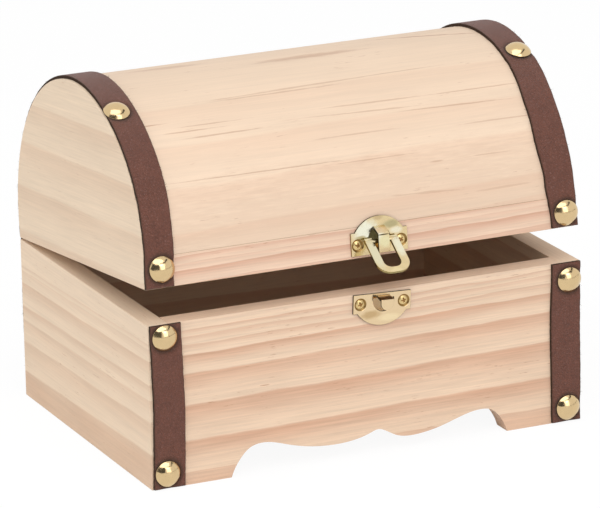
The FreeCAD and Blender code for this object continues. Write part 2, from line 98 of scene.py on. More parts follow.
def screen(red, green, blue):
    """A linear colour from the 8-bit values that a screen shows."""
    def linear(value):
        share = value / 255
        return share / 12.92 if share <= 0.04045 else ((share + 0.055) / 1.055) ** 2.4
    return (linear(red), linear(green), linear(blue))


def colour_prop(name, description, default):
    return FloatVectorProperty(name=name, description=description, default=default,
                               subtype="COLOR", size=3, min=0.0, max=1.0)


def length_prop(name, description, default):
    return FloatProperty(name=name, description=description, default=default,
                         unit="LENGTH", min=0.0, precision=5)


def angle_prop(name, description, degrees):
    return FloatProperty(name=name, description=description,
                         default=math.radians(degrees), subtype="ANGLE")


def plain_prop(name, description, default):
    return FloatProperty(name=name, description=description, default=default, min=0.0)


# ---------------------------------------------------------------- settings


class DomeSettings(PropertyGroup):
    """The outline of the closed lid, seen from the end."""
    height: length_prop("Height", "Top of the dome above the lid's lower edge", 0.066)
    crown: length_prop("Crown radius", "Radius of the broad curve on top", 0.064)
    shoulder: length_prop("Shoulder radius", "Radius of the tighter curve at the front",
                          0.05)
    back: length_prop("Back radius", "Radius of the single curve down the back", 0.06)


class PineSettings(PropertyGroup):
    """The bare pine of the boards."""
    pale: colour_prop("Pale wood", "Colour of the soft spring wood", screen(240, 214, 186))
    band: colour_prop("Band", "Colour of the growth bands", screen(217, 176, 146))
    dark: colour_prop("Fleck", "Colour of resin flecks and fine lines",
                      screen(176, 124, 92))
    arris: length_prop("Eased edge", "How far the boards' edges are sanded round", 0.00035)
    roughness: plain_prop("Roughness", "Roughness of the sanded surface", 0.62)


class StrapSettings(PropertyGroup):
    """The leather straps."""
    colour: colour_prop("Leather", "Colour of the finished face", screen(119, 73, 58))
    cut: colour_prop("Cut edge", "Colour of the raw cut edges", screen(58, 42, 32))
    # The leather's darker colour: painted shade in a ring round each nail, for the nail's
    # contact shadow, and wear along the edges.
    shade_and_wear: colour_prop("Nail shade and worn rim", "Colour round the nails and along the edges",
                      screen(72, 50, 36))
    crown: length_prop("Rounding", "How far the long edges are rounded over", 0.0003)
    dimple: length_prop("Dimple", "How deep a nail pulls the leather in", 0.0004)
    fibre: length_prop("Fibre length", "Length of the longest loose fibres", 0.0011)
    fibre_count: plain_prop("Fibre density", "Loose fibres on a square metre of cut edge",
                            1.3e6)
    seed: IntProperty(name="Seed", description="Seed of the ragged edges and the fibres",
                      default=7)


class BrassSettings(PropertyGroup):
    """The plated nails, latch and hinges."""
    nail: colour_prop("Nails", "Colour of the dome nails", screen(215, 188, 143))
    plate: colour_prop("Plates", "Colour of the latch and its loop", screen(224, 202, 156))
    # The plates' cut edges are dark as painted shade, for their thin dark outline.
    cut: colour_prop("Cut sheet", "Colour of the cut edges of the stamped sheet",
                     screen(60, 48, 28))
    # The loop's edges are darker as painted shade, for the loop's thin dark outlines.
    loop_edge_shade: colour_prop("Loop edges", "Colour of the tumbled edges of the loop",
                          screen(158, 142, 94))
    # The seats are darker as painted shade, which dims the glint of light in them.
    seat: colour_prop("Screw seats", "Colour of the seats round the latch's screws",
                      screen(150, 120, 72))
    screw: colour_prop("Screws", "Colour of the small screws", screen(220, 194, 138))
    hinge: colour_prop("Hinges", "Colour of the hinge leaves", screen(214, 188, 122))
    polish: plain_prop("Roughness", "Roughness of the polished plating", 0.1)
    rounding: length_prop("Rounding", "How far stamped edges are rounded", 0.00016)
    tilt: angle_prop("Nail tilt", "How far a nail may be driven out of square", 2.5)


class StudioSettings(PropertyGroup):
    """The floor, the lights and the camera."""
    place: FloatVectorProperty(name="Camera place", description="Where the camera stands",
                               default=(-0.69595, -1.54767, 0.57133), subtype="XYZ",
                               unit="LENGTH", size=3)
    azimuth: angle_prop("Azimuth", "Direction of the camera round the chest", -24.292)
    elevation: angle_prop("Elevation", "Height of the camera above the horizon", 16.777)
    roll: angle_prop("Roll", "Lean of the camera", 1.138)
    focal: plain_prop("Focal length", "Focal length in millimetres on a 36 mm sensor",
                      294.41)
    world: plain_prop("Surround", "Strength of the even light from all round", 0.55)
    key: plain_prop("Key light", "Power of the large soft light, in watts", 9.5)
    fill: plain_prop("Fill light", "Power of the small soft light, in watts", 1.9)
    side: plain_prop("Side light", "Power of the light on the left end, in watts", 3.9)
    card: plain_prop("Dark cards", "How bright the metal sees the dark cards", 0.1)
    floor: colour_prop("Floor", "Colour of the floor", (0.88, 0.88, 0.88))


SETTING_CLASSES = (DomeSettings, PineSettings, StrapSettings, BrassSettings,
                   StudioSettings)


# ---------------------------------------------------------------- node helpers


class Value:
    """A node's output, which sums can be written with in the tree that it belongs to."""

    def __init__(self, socket):
        self.socket = socket
        self.tree = socket.id_data

    def calc(self, operation, *others):
        """The result of a math node. The tree may be of either kind."""
        return result(self.tree, "ShaderNodeMath", (self, *others), operation=operation)

    def vector_calc(self, operation, *others):
        """The result of a vector math node."""
        output = "Value" if operation in ("DOT_PRODUCT", "LENGTH") else "Vector"
        return result(self.tree, "ShaderNodeVectorMath", (self, *others), output,
                      operation=operation)

    def __add__(self, other):
        return self.calc("ADD", other)

    def __sub__(self, other):
        return self.calc("SUBTRACT", other)

    def __rsub__(self, other):
        return result(self.tree, "ShaderNodeMath", (other, self), operation="SUBTRACT")

    def __mul__(self, other):
        return self.calc("MULTIPLY", other)

    def __truediv__(self, other):
        return self.calc("DIVIDE", other)


def connect(socket, value):
    """Joins a socket to a value, or sets it to a plain one."""
    if isinstance(value, Value):
        socket.id_data.links.new(value.socket, socket)
    else:
        socket.default_value = value


def set_sockets(node, inputs):
    """Sets or joins a node's inputs, by name or in order."""
    pairs = inputs.items() if isinstance(inputs, dict) else enumerate(inputs)
    for key, value in pairs:
        connect(node.inputs[key], value)


def add(tree, kind, inputs=(), **settings):
    """A new node, with its settings made and its inputs joined or set."""
    node = tree.nodes.new(kind)
    for name, value in settings.items():
        setattr(node, name, value)
    set_sockets(node, inputs)
    return node


def result(tree, kind, inputs=(), output=0, **settings):
    """One output of a new node."""
    return Value(add(tree, kind, inputs, **settings).outputs[output])


def split(vector):
    """The X, Y and Z of a vector."""
    node = add(vector.tree, "ShaderNodeSeparateXYZ", {"Vector": vector})
    return [Value(socket) for socket in node.outputs]


def joined(*parts):
    """A vector from its X, Y and Z, of which the first is a value."""
    return result(parts[0].tree, "ShaderNodeCombineXYZ", parts)


def scaled(vector, factor):
    """A vector or a colour times one number, either of which may be plain."""
    tree = factor.tree if isinstance(factor, Value) else vector.tree
    return result(tree, "ShaderNodeVectorMath", {0: vector, "Scale": factor},
                  operation="SCALE")


def object_place(tree):
    """The object's own coordinates, in metres."""
    return result(tree, "ShaderNodeTexCoord", output="Object")


def place_in_mm(tree):
    return scaled(object_place(tree), 1 / MM)


def painted_mark(tree, name):
    """An attribute of the mesh, for a material."""
    return result(tree, "ShaderNodeAttribute", output="Fac", attribute_name=name)


def stored(tree, name, kind="FLOAT"):
    """An attribute of the mesh, for a geometry tree."""
    return result(tree, "GeometryNodeInputNamedAttribute", {"Name": name}, data_type=kind)


def noise(vector, scale, detail=2.0, rough=0.5):
    """Noise from 0 to 1 about 0.5, on a vector stretched by one scale or three."""
    scales = scale if isinstance(scale, tuple) else (scale, scale, scale)
    place = vector.vector_calc("MULTIPLY", scales)
    return result(vector.tree, "ShaderNodeTexNoise",
                  {"Vector": place, "Scale": 1.0, "Detail": detail, "Roughness": rough})


def swing(value, reach):
    """Noise from 0 to 1 turned into a move of up to the reach either way."""
    return value * (2.0 * reach) - reach


def step(value, low, high, start=0.0, end=1.0):
    """A smooth step of a value between two limits."""
    limits = {"Value": value, "From Min": low, "From Max": high, "To Min": start,
              "To Max": end}
    return result(value.tree, "ShaderNodeMapRange", limits, "Result",
                  interpolation_type="SMOOTHSTEP")


def blend_colour(factor, *colours):
    """The colour between two colours, at a share of the way."""
    node = add(factor.tree, "ShaderNodeMix", {"Factor": factor}, data_type="RGBA")
    sockets = [socket for socket in node.inputs if socket.type == "RGBA"]
    for socket, colour in zip(sockets, colours):
        connect(socket, colour if isinstance(colour, Value) else (*colour, 1.0))
    return Value(next(socket for socket in node.outputs if socket.type == "RGBA"))


def ramp(factor, stops, interpolation="LINEAR"):
    """A grey ramp through (place, value) stops."""
    node = add(factor.tree, "ShaderNodeValToRGB", {"Fac": factor})
    node.color_ramp.interpolation = interpolation
    elements = node.color_ramp.elements
    while len(elements) < len(stops):
        elements.new(0.5)
    for element, (place, value) in zip(elements, stops):
        element.position = place
        element.color = (value, value, value, 1.0)
    return Value(node.outputs["Color"])


def new_material(name):
    """A fresh material, with its tree and its main shader."""
    material = bpy.data.materials.new(name)
    material.use_nodes = True
    tree = material.node_tree
    return material, tree, tree.nodes["Principled BSDF"]


def bump(shader, height, distance):
    relief = {"Height": height, "Distance": distance, "Strength": 1.0}
    set_sockets(shader, {"Normal": result(height.tree, "ShaderNodeBump", relief, "Normal")})


# ---------------------------------------------------------------- pine


# The strength of a growth band from its sharp upper edge downwards.
RING_PROFILE = ((0.0, 0.8), (0.05, 1.0), (0.3, 0.66), (0.55, 0.22), (0.8, 0.03),
                (0.955, 0.0), (1.0, 0.8))

# How deep in millimetres the bands of a board may reach, and how strong the wood above
# the first band is.
DEEPEST = 110.0
TOP_BAND = 0.15

# How far in millimetres the pattern moves for each step of a board's seed.
SEED_SHIFT = Vector((311.0, 57.0, 83.0))


def growth_bands(along, up, own, sawn):
    """How strong the growth bands are: 1 is the darkest wood of a band."""
    swell = swing(noise(own, (0.011, 0.03, 0.03), 1.0), sawn["wave"])
    ragged = swing(noise(own, (0.05, 0.25, 0.25), 3.0), sawn["ragged"])
    depth = sawn["top"] - up + along * sawn["lean"] + (swell + ragged)
    rings = len(sawn["bands"]) + 1
    edges = [(0.0, 0.0), (1.0, 1.0)]
    strengths = [(0.0, TOP_BAND)]
    for index, (edge, strength) in enumerate(sawn["bands"], 1):
        edges.insert(index, (edge / DEEPEST, index / rings))
        strengths.append((index / rings, strength))
    ring = ramp(depth / DEEPEST, edges) * rings
    middle = (ring.calc("FLOOR") + 0.5) / rings
    late = ramp(ring.calc("FRACT"), RING_PROFILE) * ramp(middle, strengths, "CONSTANT")
    return late * (noise(own, (0.02, 0.06, 0.06)) * 0.9 + 0.55)


def dark_marks(along, up, own, sawn):
    """Short flecks in some zones, and the single marks that a board is given."""
    fleck = step(noise(own, (0.17, 2.3, 2.3), 2.0, 0.55), 0.66, 0.76)
    zone = step(noise(own, (0.03, 0.09, 0.09), 1.0), 0.42, 0.62, 0.0, sawn["flecks"])
    mark = fleck * zone
    broken = swing(noise(own, (0.14, 1.1, 1.1), 3.0, 0.6), 0.75)
    for middle, height, length, thick, slope, strength in sawn["marks"]:
        beside = along - middle
        above = beside.calc("MULTIPLY_ADD", -slope, up - height)
        away = joined(beside / length, above / thick).vector_calc("LENGTH") + broken
        mark = mark.calc("MAXIMUM", step(away, 0.35, 1.15, strength, 0.0))
    return mark


def grain_nodes(place, sawn):
    """The colour and the relief of a sawn pine board, at places in millimetres.

    X runs along the grain and Z up across the growth bands, which have a sharp upper edge
    and fade downwards.
    """
    along, _, up = split(place)
    own = place.vector_calc("ADD", SEED_SHIFT * sawn["seed"])
    late = growth_bands(along, up, own, sawn)
    mark = dark_marks(along, up, own, sawn)

    # Fine fibres, longer streaks and broad softer tones
    fibre = noise(own, (0.045, 1.7, 1.7), 4.0, 0.6) - 0.5
    streak = noise(own, (0.016, 0.62, 0.62), 3.0, 0.6) - 0.5
    broad = noise(own, (0.02, 0.05, 0.12)) - 0.5
    tone = fibre * sawn["fibres"] + streak * sawn["streaks"] + broad * 0.12 + 1.0

    colour = blend_colour(late * sawn["share"], sawn["pale"], sawn["band"])
    colour = blend_colour(mark, scaled(colour, tone), sawn["dark"])
    return colour, fibre * 0.8 + late * 0.25 - mark


def board_place(tree, lid=False, turned=False):
    """Board coordinates in millimetres: X along the grain, Z up, with the lid closed."""
    quarter = Matrix.Rotation(math.radians(-90) if turned else 0.0, 3, "Z")
    turn = quarter @ TO_CLOSED.to_3x3() if lid else quarter
    shift = (quarter @ HINGE_PLACE - turn @ HINGE_PLACE) / MM
    return result(tree, "ShaderNodeMapping",
                  {"Vector": object_place(tree), "Location": shift,
                   "Rotation": turn.to_euler(), "Scale": (1 / MM, 1 / MM, 1 / MM)})


def round_the_dome(place, radius):
    """Coordinates of a bent board: X along it, Y through it, Z round the dome."""
    along, depth, height = split(place)
    across = depth - BOX_CENTRE_Y / MM
    up = height - LID_BASE / MM
    angle = up.calc("ARCTAN2", across * -1.0)
    return joined(along, joined(across, up).vector_calc("LENGTH"), angle * (radius / MM))


def pine(name, settings, sawn, lid=False, turned=False, bent=None):
    """A bare pine finish. What is sawn says how this board was cut, in millimetres."""
    material, tree, shader = new_material(name)
    place = board_place(tree, lid, turned)
    if bent:
        place = round_the_dome(place, bent)
    colours = {"pale": settings.pale, "band": settings.band, "dark": settings.dark}
    colour, height = grain_nodes(place, {**colours, **sawn})
    set_sockets(shader, {"Base Color": colour, "Roughness": settings.roughness,
                         "Specular IOR Level": 0.5 if bent else 0.3})
    bump(shader, height, 0.06 * MM)
    return material


def grain(top, bands, lean, seed, **changes):
    """How a board was sawn, with what sets it apart from the usual.

    Bands are (depth below the top, strength); marks are (along, up, half length, half
    thickness, slope, strength). Lengths are in millimetres.
    """
    usual = {"wave": 0.8, "ragged": 0.5, "share": 0.9, "fibres": 0.24, "streaks": 0.12,
             "flecks": 0.5, "marks": ()}
    return {"top": top, "bands": bands, "lean": lean, "seed": seed, **usual, **changes}


def even_bands(first, width, widening):
    """Growth bands that widen with depth, for a board that nothing sets apart."""
    return tuple((first + width * index + widening * index ** 2, 0.85)
                 for index in range(8))


BODY_TOP_MM = BODY_TOP / MM
END_TOP_MM = LID_BASE / MM + 67.0
RAIL_TOP_MM = LID_BASE / MM + 11.2
SKIN_TOP_MM = 100.0

# Places along and up the outside of the lid's top, with sizes, slopes and strengths.
SKIN_MARKS = (
    (4, 90, 24, 2.2, 0.0, 0.4), (53.5, 95.5, 22, 0.7, -0.25, 0.6),
    (-48, 99, 17, 2.2, -0.03, 0.3), (-5, 69.5, 42, 0.5, 0.03, 0.35),
    (-20, 67.8, 26, 0.45, 0.01, 0.35), (30, 70.5, 24, 0.35, 0.02, 0.3),
    (-71, 60.2, 8, 0.3, 0.0, 0.55), (-48, 57.5, 14, 0.35, 0.0, 0.45),
    (-55, 55.5, 12, 0.35, 0.0, 0.45), (-45, 52.5, 18, 0.35, 0.01, 0.45),
    (20, 57, 30, 0.35, -0.01, 0.4), (10, 53.5, 28, 0.4, -0.03, 0.4),
    (50, 56.8, 22, 0.3, 0.0, 0.5), (45, 51, 24, 0.35, -0.02, 0.45),
    (5, 45, 22, 0.35, 0.0, 0.35), (60, 43, 20, 0.35, 0.0, 0.35),
    (-35, 36.2, 40, 0.28, -0.005, 0.5), (8, 35, 22, 0.3, 0.0, 0.4),
    (31, 31, 4, 0.45, 0.0, 0.45), (50, 31, 10, 0.3, 0.0, 0.4),
    (25, 20.5, 20, 0.6, -0.05, 0.38), (55, 18.5, 16, 0.6, 0.02, 0.34),
    # The broad mark at 10 along and 14 up, which reaches over the whole width, is painted shade
    # that darkens the lower skin.
    (30, 16, 32, 0.7, 0.02, 0.23), (10, 14, 150, 26, 0.0, 0.16),
    (10, 46, 70, 13, 0.05, 0.05), (-30, 22, 44, 7, -0.08, 0.05),
)


def body_grains():
    return {
        "front_board": grain(
            BODY_TOP_MM, ((2.6, 0.7), (4.8, 0.55), (8.0, 0.6), (11.6, 1.0), (18.8, 0.95),
                          (30.2, 1.0), (43.5, 0.95), (55.0, 0.6)), 0.0145, 1.0, wave=1.1,
            ragged=0.8, fibres=0.38, streaks=0.26, flecks=0.7, pale=screen(239, 211, 184),
            band=screen(216, 171, 142)),
        "back_board": grain(BODY_TOP_MM, even_bands(2.0, 8.5, 0.4), -0.02, 2.0),
        "left_side_board": grain(
            BODY_TOP_MM, ((8.2, 0.6), (9.9, 0.45), (14.5, 0.85), (23.4, 0.85),
                          (28.9, 0.75), (37.0, 0.8), (48.6, 1.1)), -0.031, 3.0, share=0.7,
            pale=screen(236, 213, 187), band=screen(214, 180, 152)),
        "right_side_board": grain(BODY_TOP_MM, even_bands(4.0, 9.0, 0.5), 0.02, 4.0,
                                  share=0.7),
    }


def lid_grains():
    return {
        "lid_left_end": grain(
            END_TOP_MM, ((15.2, 0.85), (31.0, 0.9), (47.8, 0.8), (64.5, 0.8)), 0.015, 5.0,
            wave=0.6, share=0.5, flecks=0.4, pale=screen(235, 213, 187),
            band=screen(214, 180, 152)),
        "lid_right_end": grain(END_TOP_MM, even_bands(9.0, 13.0, 0.8), 0.02, 6.0,
                               share=0.55),
        "lid_front_rail": grain(
            RAIL_TOP_MM, ((0.4, 0.9), (3.2, 0.35), (5.3, 1.0), (10.2, 0.7)), 0.018, 7.0,
            wave=1.2, ragged=0.7, share=0.85, fibres=0.34, streaks=0.24,
            pale=screen(237, 206, 181), band=screen(216, 168, 142)),
        "lid_back_rail": grain(RAIL_TOP_MM, even_bands(2.0, 4.2, 0.3), -0.01, 8.0,
                               share=0.7),
    }


def skin_grain():
    return grain(
        SKIN_TOP_MM, ((31.0, 0.7), (49.0, 0.8), (64.0, 0.9), (80.0, 1.0), (88.0, 0.8)),
        0.01, 9.0, wave=3.0, share=0.4, fibres=0.14, streaks=0.11, marks=SKIN_MARKS,
        pale=screen(242, 216, 190), band=screen(232, 194, 166))


# ---------------------------------------------------------------- other finishes


# The darker colour given to the recess of a screw.
RECESS_DARK = screen(140, 98, 56)


def plywood(name, settings):
    """The thin bottom panel: rotary-cut face veneer."""
    material, tree, shader = new_material(name)
    place = board_place(tree)
    waves = noise(place, (0.02, 0.14, 0.2), 3.0)
    fine = noise(place, (0.08, 1.6, 1.6), 3.0)
    colour = blend_colour(fine * 0.4 + waves * 0.6, settings.band, settings.pale)
    set_sockets(shader, {"Base Color": colour, "Roughness": settings.roughness})
    bump(shader, fine, 0.04 * MM)
    return material


def leather(name, settings):
    """The finished face of the straps: fine pores, soft mottling, pale specks painted as glints
    of light, and painted shade round the nails.
    """
    material, tree, shader = new_material(name)
    place = place_in_mm(tree)
    cells = result(tree, "ShaderNodeTexVoronoi", {"Vector": place, "Scale": 2.3},
                   "Distance", feature="DISTANCE_TO_EDGE")
    crease = step(cells, 0.0, 0.22)
    mottle = noise(place, 0.25, 4.0, 0.6)
    grit = noise(place, (1.7, 1.7, 1.4), 3.0, 0.7)
    # The pale specks are painted highlights: glints of light on the grain.
    glint_speck = step(noise(place, 1.8), 0.58, 0.7)
    tone = (mottle * 0.5 + grit * 1.1 + 0.2) * (crease * 0.24 + 0.82)
    base = scaled(tuple(settings.colour), tone)
    pale = [min(1.0, 1.3 * value + 0.09) for value in settings.colour]
    colour = blend_colour(glint_speck * 0.45, base, pale)
    # Painted shade in a ring round each nail, and darker wear along the edges.
    pinch = painted_mark(tree, "pinch") * 0.8
    shade_and_wear = pinch.calc("MAXIMUM", painted_mark(tree, "rim") * 0.6)
    set_sockets(shader, {"Base Color": blend_colour(shade_and_wear, colour, settings.shade_and_wear),
                         "Roughness": 0.55, "Specular IOR Level": 0.34,
                         "Sheen Weight": 0.1, "Sheen Roughness": 0.4})
    bump(shader, crease * 0.5 + noise(place, 3.4, 3.0, 0.65) * 0.9, 0.26 * MM)
    return material


def raw_edge(name, colour):
    """The fuzzy cut edge of the straps, and the fibres that stand off it."""
    material, tree, shader = new_material(name)
    rough = noise(object_place(tree), 1800.0, 3.0)
    set_sockets(shader, {"Base Color": scaled(tuple(colour), rough * 1.1 + 0.45),
                         "Roughness": 0.9, "Specular IOR Level": 0.2})
    bump(shader, rough, 0.2 * MM)
    return material


def brass(name, colour, roughness, waviness, across=0.42, patches=()):
    """Plated brass: faint tarnish, and the soft dents of thin stamped sheet.

    The dents are counted across a millimetre. Each patch is (middle, reach across and up in mm,
    colour);
    the patches are partly uneven plate colour and partly painted highlights and reflections. An
    attribute named recess darkens a recess.
    """
    material, tree, shader = new_material(name)
    place = place_in_mm(tree)
    base = scaled(tuple(colour), noise(place, 0.35, 4.0, 0.6) * 0.16 + 0.92)
    ragged = swing(noise(place, 0.5, 3.0), 0.3)
    # Uneven plate colour, with painted highlights and reflections among the patches.
    for middle, (across_mm, up_mm), patch_colour in patches:
        gap = place.vector_calc("SUBTRACT", middle / MM)
        gap = gap.vector_calc("MULTIPLY", (1.0 / across_mm, 0.0, 1.0 / up_mm))
        away = gap.vector_calc("LENGTH") + ragged
        base = blend_colour(step(away, 0.4, 1.15, 1.0, 0.0), base, patch_colour)
    base = blend_colour(painted_mark(tree, "recess"), base, RECESS_DARK)
    haze = step(noise(place, 0.8, 3.0), 0.35, 0.7, roughness, roughness + 0.12)
    set_sockets(shader, {"Base Color": base, "Metallic": 1.0, "Roughness": haze})
    dents = noise(place, across, 1.0)
    bump(shader, noise(place, 5.0) * 0.01 + dents, waviness)
    return material


def pocket_paint(name, dark, light):
    """The painted bottom of a shallow pocket behind one of the latch's openings: painted shade
    in the lid's window, painted light in the catch's niche.
    """
    material, tree, shader = new_material(name)
    blotch = noise(object_place(tree), 900.0)
    set_sockets(shader, {"Base Color": blend_colour(blotch, dark, light),
                         "Roughness": 0.6})
    return material


def steel(name):
    """The drawn wire of the hinge pins."""
    material, tree, shader = new_material(name)
    streaks = noise(object_place(tree), (300.0, 2500.0, 2500.0))
    set_sockets(shader, {"Base Color": (0.55, 0.5, 0.4, 1.0), "Metallic": 1.0,
                         "Roughness": step(streaks, 0.3, 0.7, 0.25, 0.4)})
    return material


def paint(obj, *materials):
    obj.data.materials.clear()
    for material in materials:
        obj.data.materials.append(material)


# The pockets behind the latch: from how deep to how deep, and half their width.
POCKET_START = 0.1 * MM
POCKET_END = 3.0 * MM
POCKET_HALF = 5.5 * MM


def in_pocket(place):
    """Whether a place on the closed chest is inside a pocket behind the latch."""
    deep = place.y - SIDE_LOW.y
    return POCKET_START < deep < POCKET_END and abs(place.x - LATCH_X) < POCKET_HALF


# ---------------------------------------------------------------- mesh helpers


# The edges of drilled holes are shorter than these, and stay sharp.
BOARD_HOLE_EDGE = 0.6 * MM
LATCH_HOLE_EDGE = 0.3 * MM
HINGE_HOLE_EDGE = 0.35 * MM

# Below the first angle two faces are one flat face; above the second their edge shows.
FLAT_ANGLE = math.radians(0.3)
CORNER_ANGLE = math.radians(32.0)


def placed(name, data):
    """A new object of the scene, at the origin."""
    obj = bpy.data.objects.new(name, data)
    bpy.context.scene.collection.objects.link(obj)
    return obj


def finished_mesh(work, name):
    """The mesh that a work mesh turns into."""
    mesh = bpy.data.meshes.new(name)
    work.to_mesh(mesh)
    work.free()
    return mesh


def mark_points(mesh, label, kind, values):
    """Stores a number or a vector for each point of a mesh."""
    field = "value" if kind == "FLOAT" else "vector"
    for item, value in zip(mesh.attributes.new(label, kind, "POINT").data, values):
        setattr(item, field, value)


def merged_copy(node):
    """A work mesh of a frame node, with its doubles merged and its flat faces joined."""
    work = bmesh.new()
    work.from_mesh(NODES[node].data)
    bmesh.ops.remove_doubles(work, verts=work.verts, dist=1e-6)
    bmesh.ops.dissolve_limit(work, angle_limit=FLAT_ANGLE, verts=work.verts,
                             edges=work.edges)
    return work


def at_corner(edge):
    return len(edge.link_faces) == 2 and edge.calc_face_angle(0.0) > CORNER_ANGLE


def eased_piece(node, name, rounding, shortest, segments=2):
    """A piece that stands for a frame node, the same shape with its edges eased.

    Edges shorter than the shortest are those of drilled holes, and stay sharp.
    """
    work = merged_copy(node)
    sharp = [edge for edge in work.edges
             if at_corner(edge) and edge.calc_length() >= shortest]
    bmesh.ops.bevel(work, geom=sharp, offset=rounding, segments=segments, profile=0.5,
                    affect="EDGES", clamp_overlap=True, material=-1)
    bmesh.ops.recalc_face_normals(work, faces=work.faces)
    for face in work.faces:
        face.smooth = True
    for edge in work.edges:
        if at_corner(edge):
            edge.smooth = False
    piece = placed(name, finished_mesh(work, name))
    shading = piece.modifiers.new("Even shading", "WEIGHTED_NORMAL")
    shading.keep_sharp = True
    shading.weight = 100
    return piece


def finish_faces(piece, finishes, which):
    """Several finishes on one piece, with the number of the one that each face has."""
    paint(piece, *finishes)
    for face in piece.data.polygons:
        face.material_index = int(which(face))


def stand_for(piece, body, slot, *nodes):
    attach(piece, body)
    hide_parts(*nodes)


def islands(node):
    """The points of each separate solid of a frame node, in the same order each time."""
    work = merged_copy(node)
    groups = []
    found = set()
    for start in work.verts:
        if start in found:
            continue
        found.add(start)
        group = [start]
        # The group grows while it is walked
        for vert in group:
            for edge in vert.link_edges:
                other = edge.other_vert(vert)
                if other not in found:
                    found.add(other)
                    group.append(other)
        groups.append([vert.co.copy() for vert in group])
    work.free()
    return sorted(groups, key=rounded_middle)


def rounded_middle(points):
    """The middle of some points to 0.01 mm, so that rounding errors sort nothing."""
    return [round(value / MM, 2) for value in points_middle(points)]


def points_middle(points):
    return sum(points, Vector()) / len(points)


def driven_at(points):
    """Where a nail's or screw's head sits, and which way it faces."""
    middle = points_middle(points)
    tip = max(points, key=lambda point: (point - middle).length)
    reach = max((point - tip).length for point in points)
    far = [point for point in points if (point - tip).length > reach - 0.01 * MM]
    outwards = (points_middle(far) - tip).normalized()
    heights = [(point - tip).dot(outwards) for point in points]
    spread = [(point - tip - outwards * height).length
              for point, height in zip(points, heights)]
    rim = [height for height, out in zip(heights, spread) if out > max(spread) * 0.97]
    return tip + outwards * min(rim), outwards


def head_size(node):
    """Radius and height of the nail or screw heads of a frame node."""
    points = islands(node)[0]
    place, outwards = driven_at(points)
    rises = [(point - place).dot(outwards) for point in points]
    outs = [(point - place - outwards * rise).length for point, rise in zip(points, rises)]
    return max(outs), max(rises)


# ---------------------------------------------------------------- node trees for pieces


def new_tree(name, sockets):
    """A geometry node tree with named inputs, (name, kind, default), and their values."""
    tree = bpy.data.node_groups.new(name, "GeometryNodeTree")
    face = tree.interface
    face.new_socket("Geometry", in_out="INPUT", socket_type="NodeSocketGeometry")
    for label, kind, value in sockets:
        socket = face.new_socket(label, in_out="INPUT", socket_type="NodeSocket" + kind)
        if value is not None:
            socket.default_value = value
    face.new_socket("Geometry", in_out="OUTPUT", socket_type="NodeSocketGeometry")
    given = tree.nodes.new("NodeGroupInput").outputs
    return tree, {socket.name: Value(socket) for socket in given if socket.name}


def close_tree(geometry, material, selection=True):
    """Ends a tree in Realize Instances and Set Material."""
    tree = geometry.tree
    real = result(tree, "GeometryNodeRealizeInstances", {"Geometry": geometry})
    finished = result(tree, "GeometryNodeSetMaterial",
                      {"Geometry": real, "Selection": selection, "Material": material})
    add(tree, "NodeGroupOutput", {"Geometry": finished})


def random_turn(facing, low, high, seed):
    """A turn to face one way, with a random lean and twist between two limits."""
    tree = facing.tree
    upright = result(tree, "FunctionNodeAlignRotationToVector", {"Vector": facing},
                     axis="Z")
    chance = result(tree, "FunctionNodeRandomValue",
                    {"Min": low, "Max": high, "Seed": seed}, data_type="FLOAT_VECTOR")
    lean = result(tree, "FunctionNodeEulerToRotation", {"Euler": chance})
    return result(tree, "FunctionNodeRotateRotation",
                  {"Rotation": upright, "Rotate By": lean}, rotation_space="LOCAL")


def grow(name, base, tree, values):
    """The plain mesh object that a tree makes from a base mesh."""
    carrier = placed(name + "_base", base)
    modifier = carrier.modifiers.new("Grow", "NODES")
    modifier.node_group = tree
    for item in tree.interface.items_tree:
        if item.in_out == "INPUT" and item.name in values:
            modifier[item.identifier] = values[item.name]
    graph = bpy.context.evaluated_depsgraph_get()
    graph.update()
    mesh = bpy.data.meshes.new_from_object(carrier.evaluated_get(graph))
    mesh.name = name
    bpy.data.objects.remove(carrier)
    return placed(name, mesh)


# ---------------------------------------------------------------- nails and screws


NAIL_NODES = {
    "box": ["body_nails_front_left", "body_nails_front_right", "body_nails_back_left",
            "body_nails_back_right"],
    "lid": ["lid_nails_left", "lid_nails_right"],
}
SCREW_NODES = {
    "box": ["catch_screws", "hinge_lower_screws"],
    "lid": ["latch_plate_screws", "hinge_upper_screws"],
}

# Seeds of the random turns, and how far in radians a screw may lean.
NAIL_SEED = 3
SCREW_SEED = 5
SCREW_TILT = 0.02

# How finely the heads are made, the lip and the hollow under a dome, and how far a
# screw head goes below its seat.
HEAD_STEPS = 48
DOME_RINGS = 16
DOME_LIP = 0.12 * MM
DOME_HOLLOW = 0.3 * MM
SCREW_RINGS = 14
SCREW_SKIRT = 0.05 * MM

# Half the length and half the width of a screw's cross recess, and its share of the head.
CROSS_REACH = 1.15 * MM
CROSS_HALF = 0.24 * MM
CROSS_DEPTH = 0.75


def driven_points(name, nodes):
    """A mesh with one point for each nail or screw, and which way each faces."""
    places = [driven_at(points) for node in nodes for points in islands(node)]
    mesh = bpy.data.meshes.new(name)
    mesh.from_pydata([place for place, _ in places], [], [])
    mark_points(mesh, "outwards", "FLOAT_VECTOR", [outwards for _, outwards in places])
    return mesh


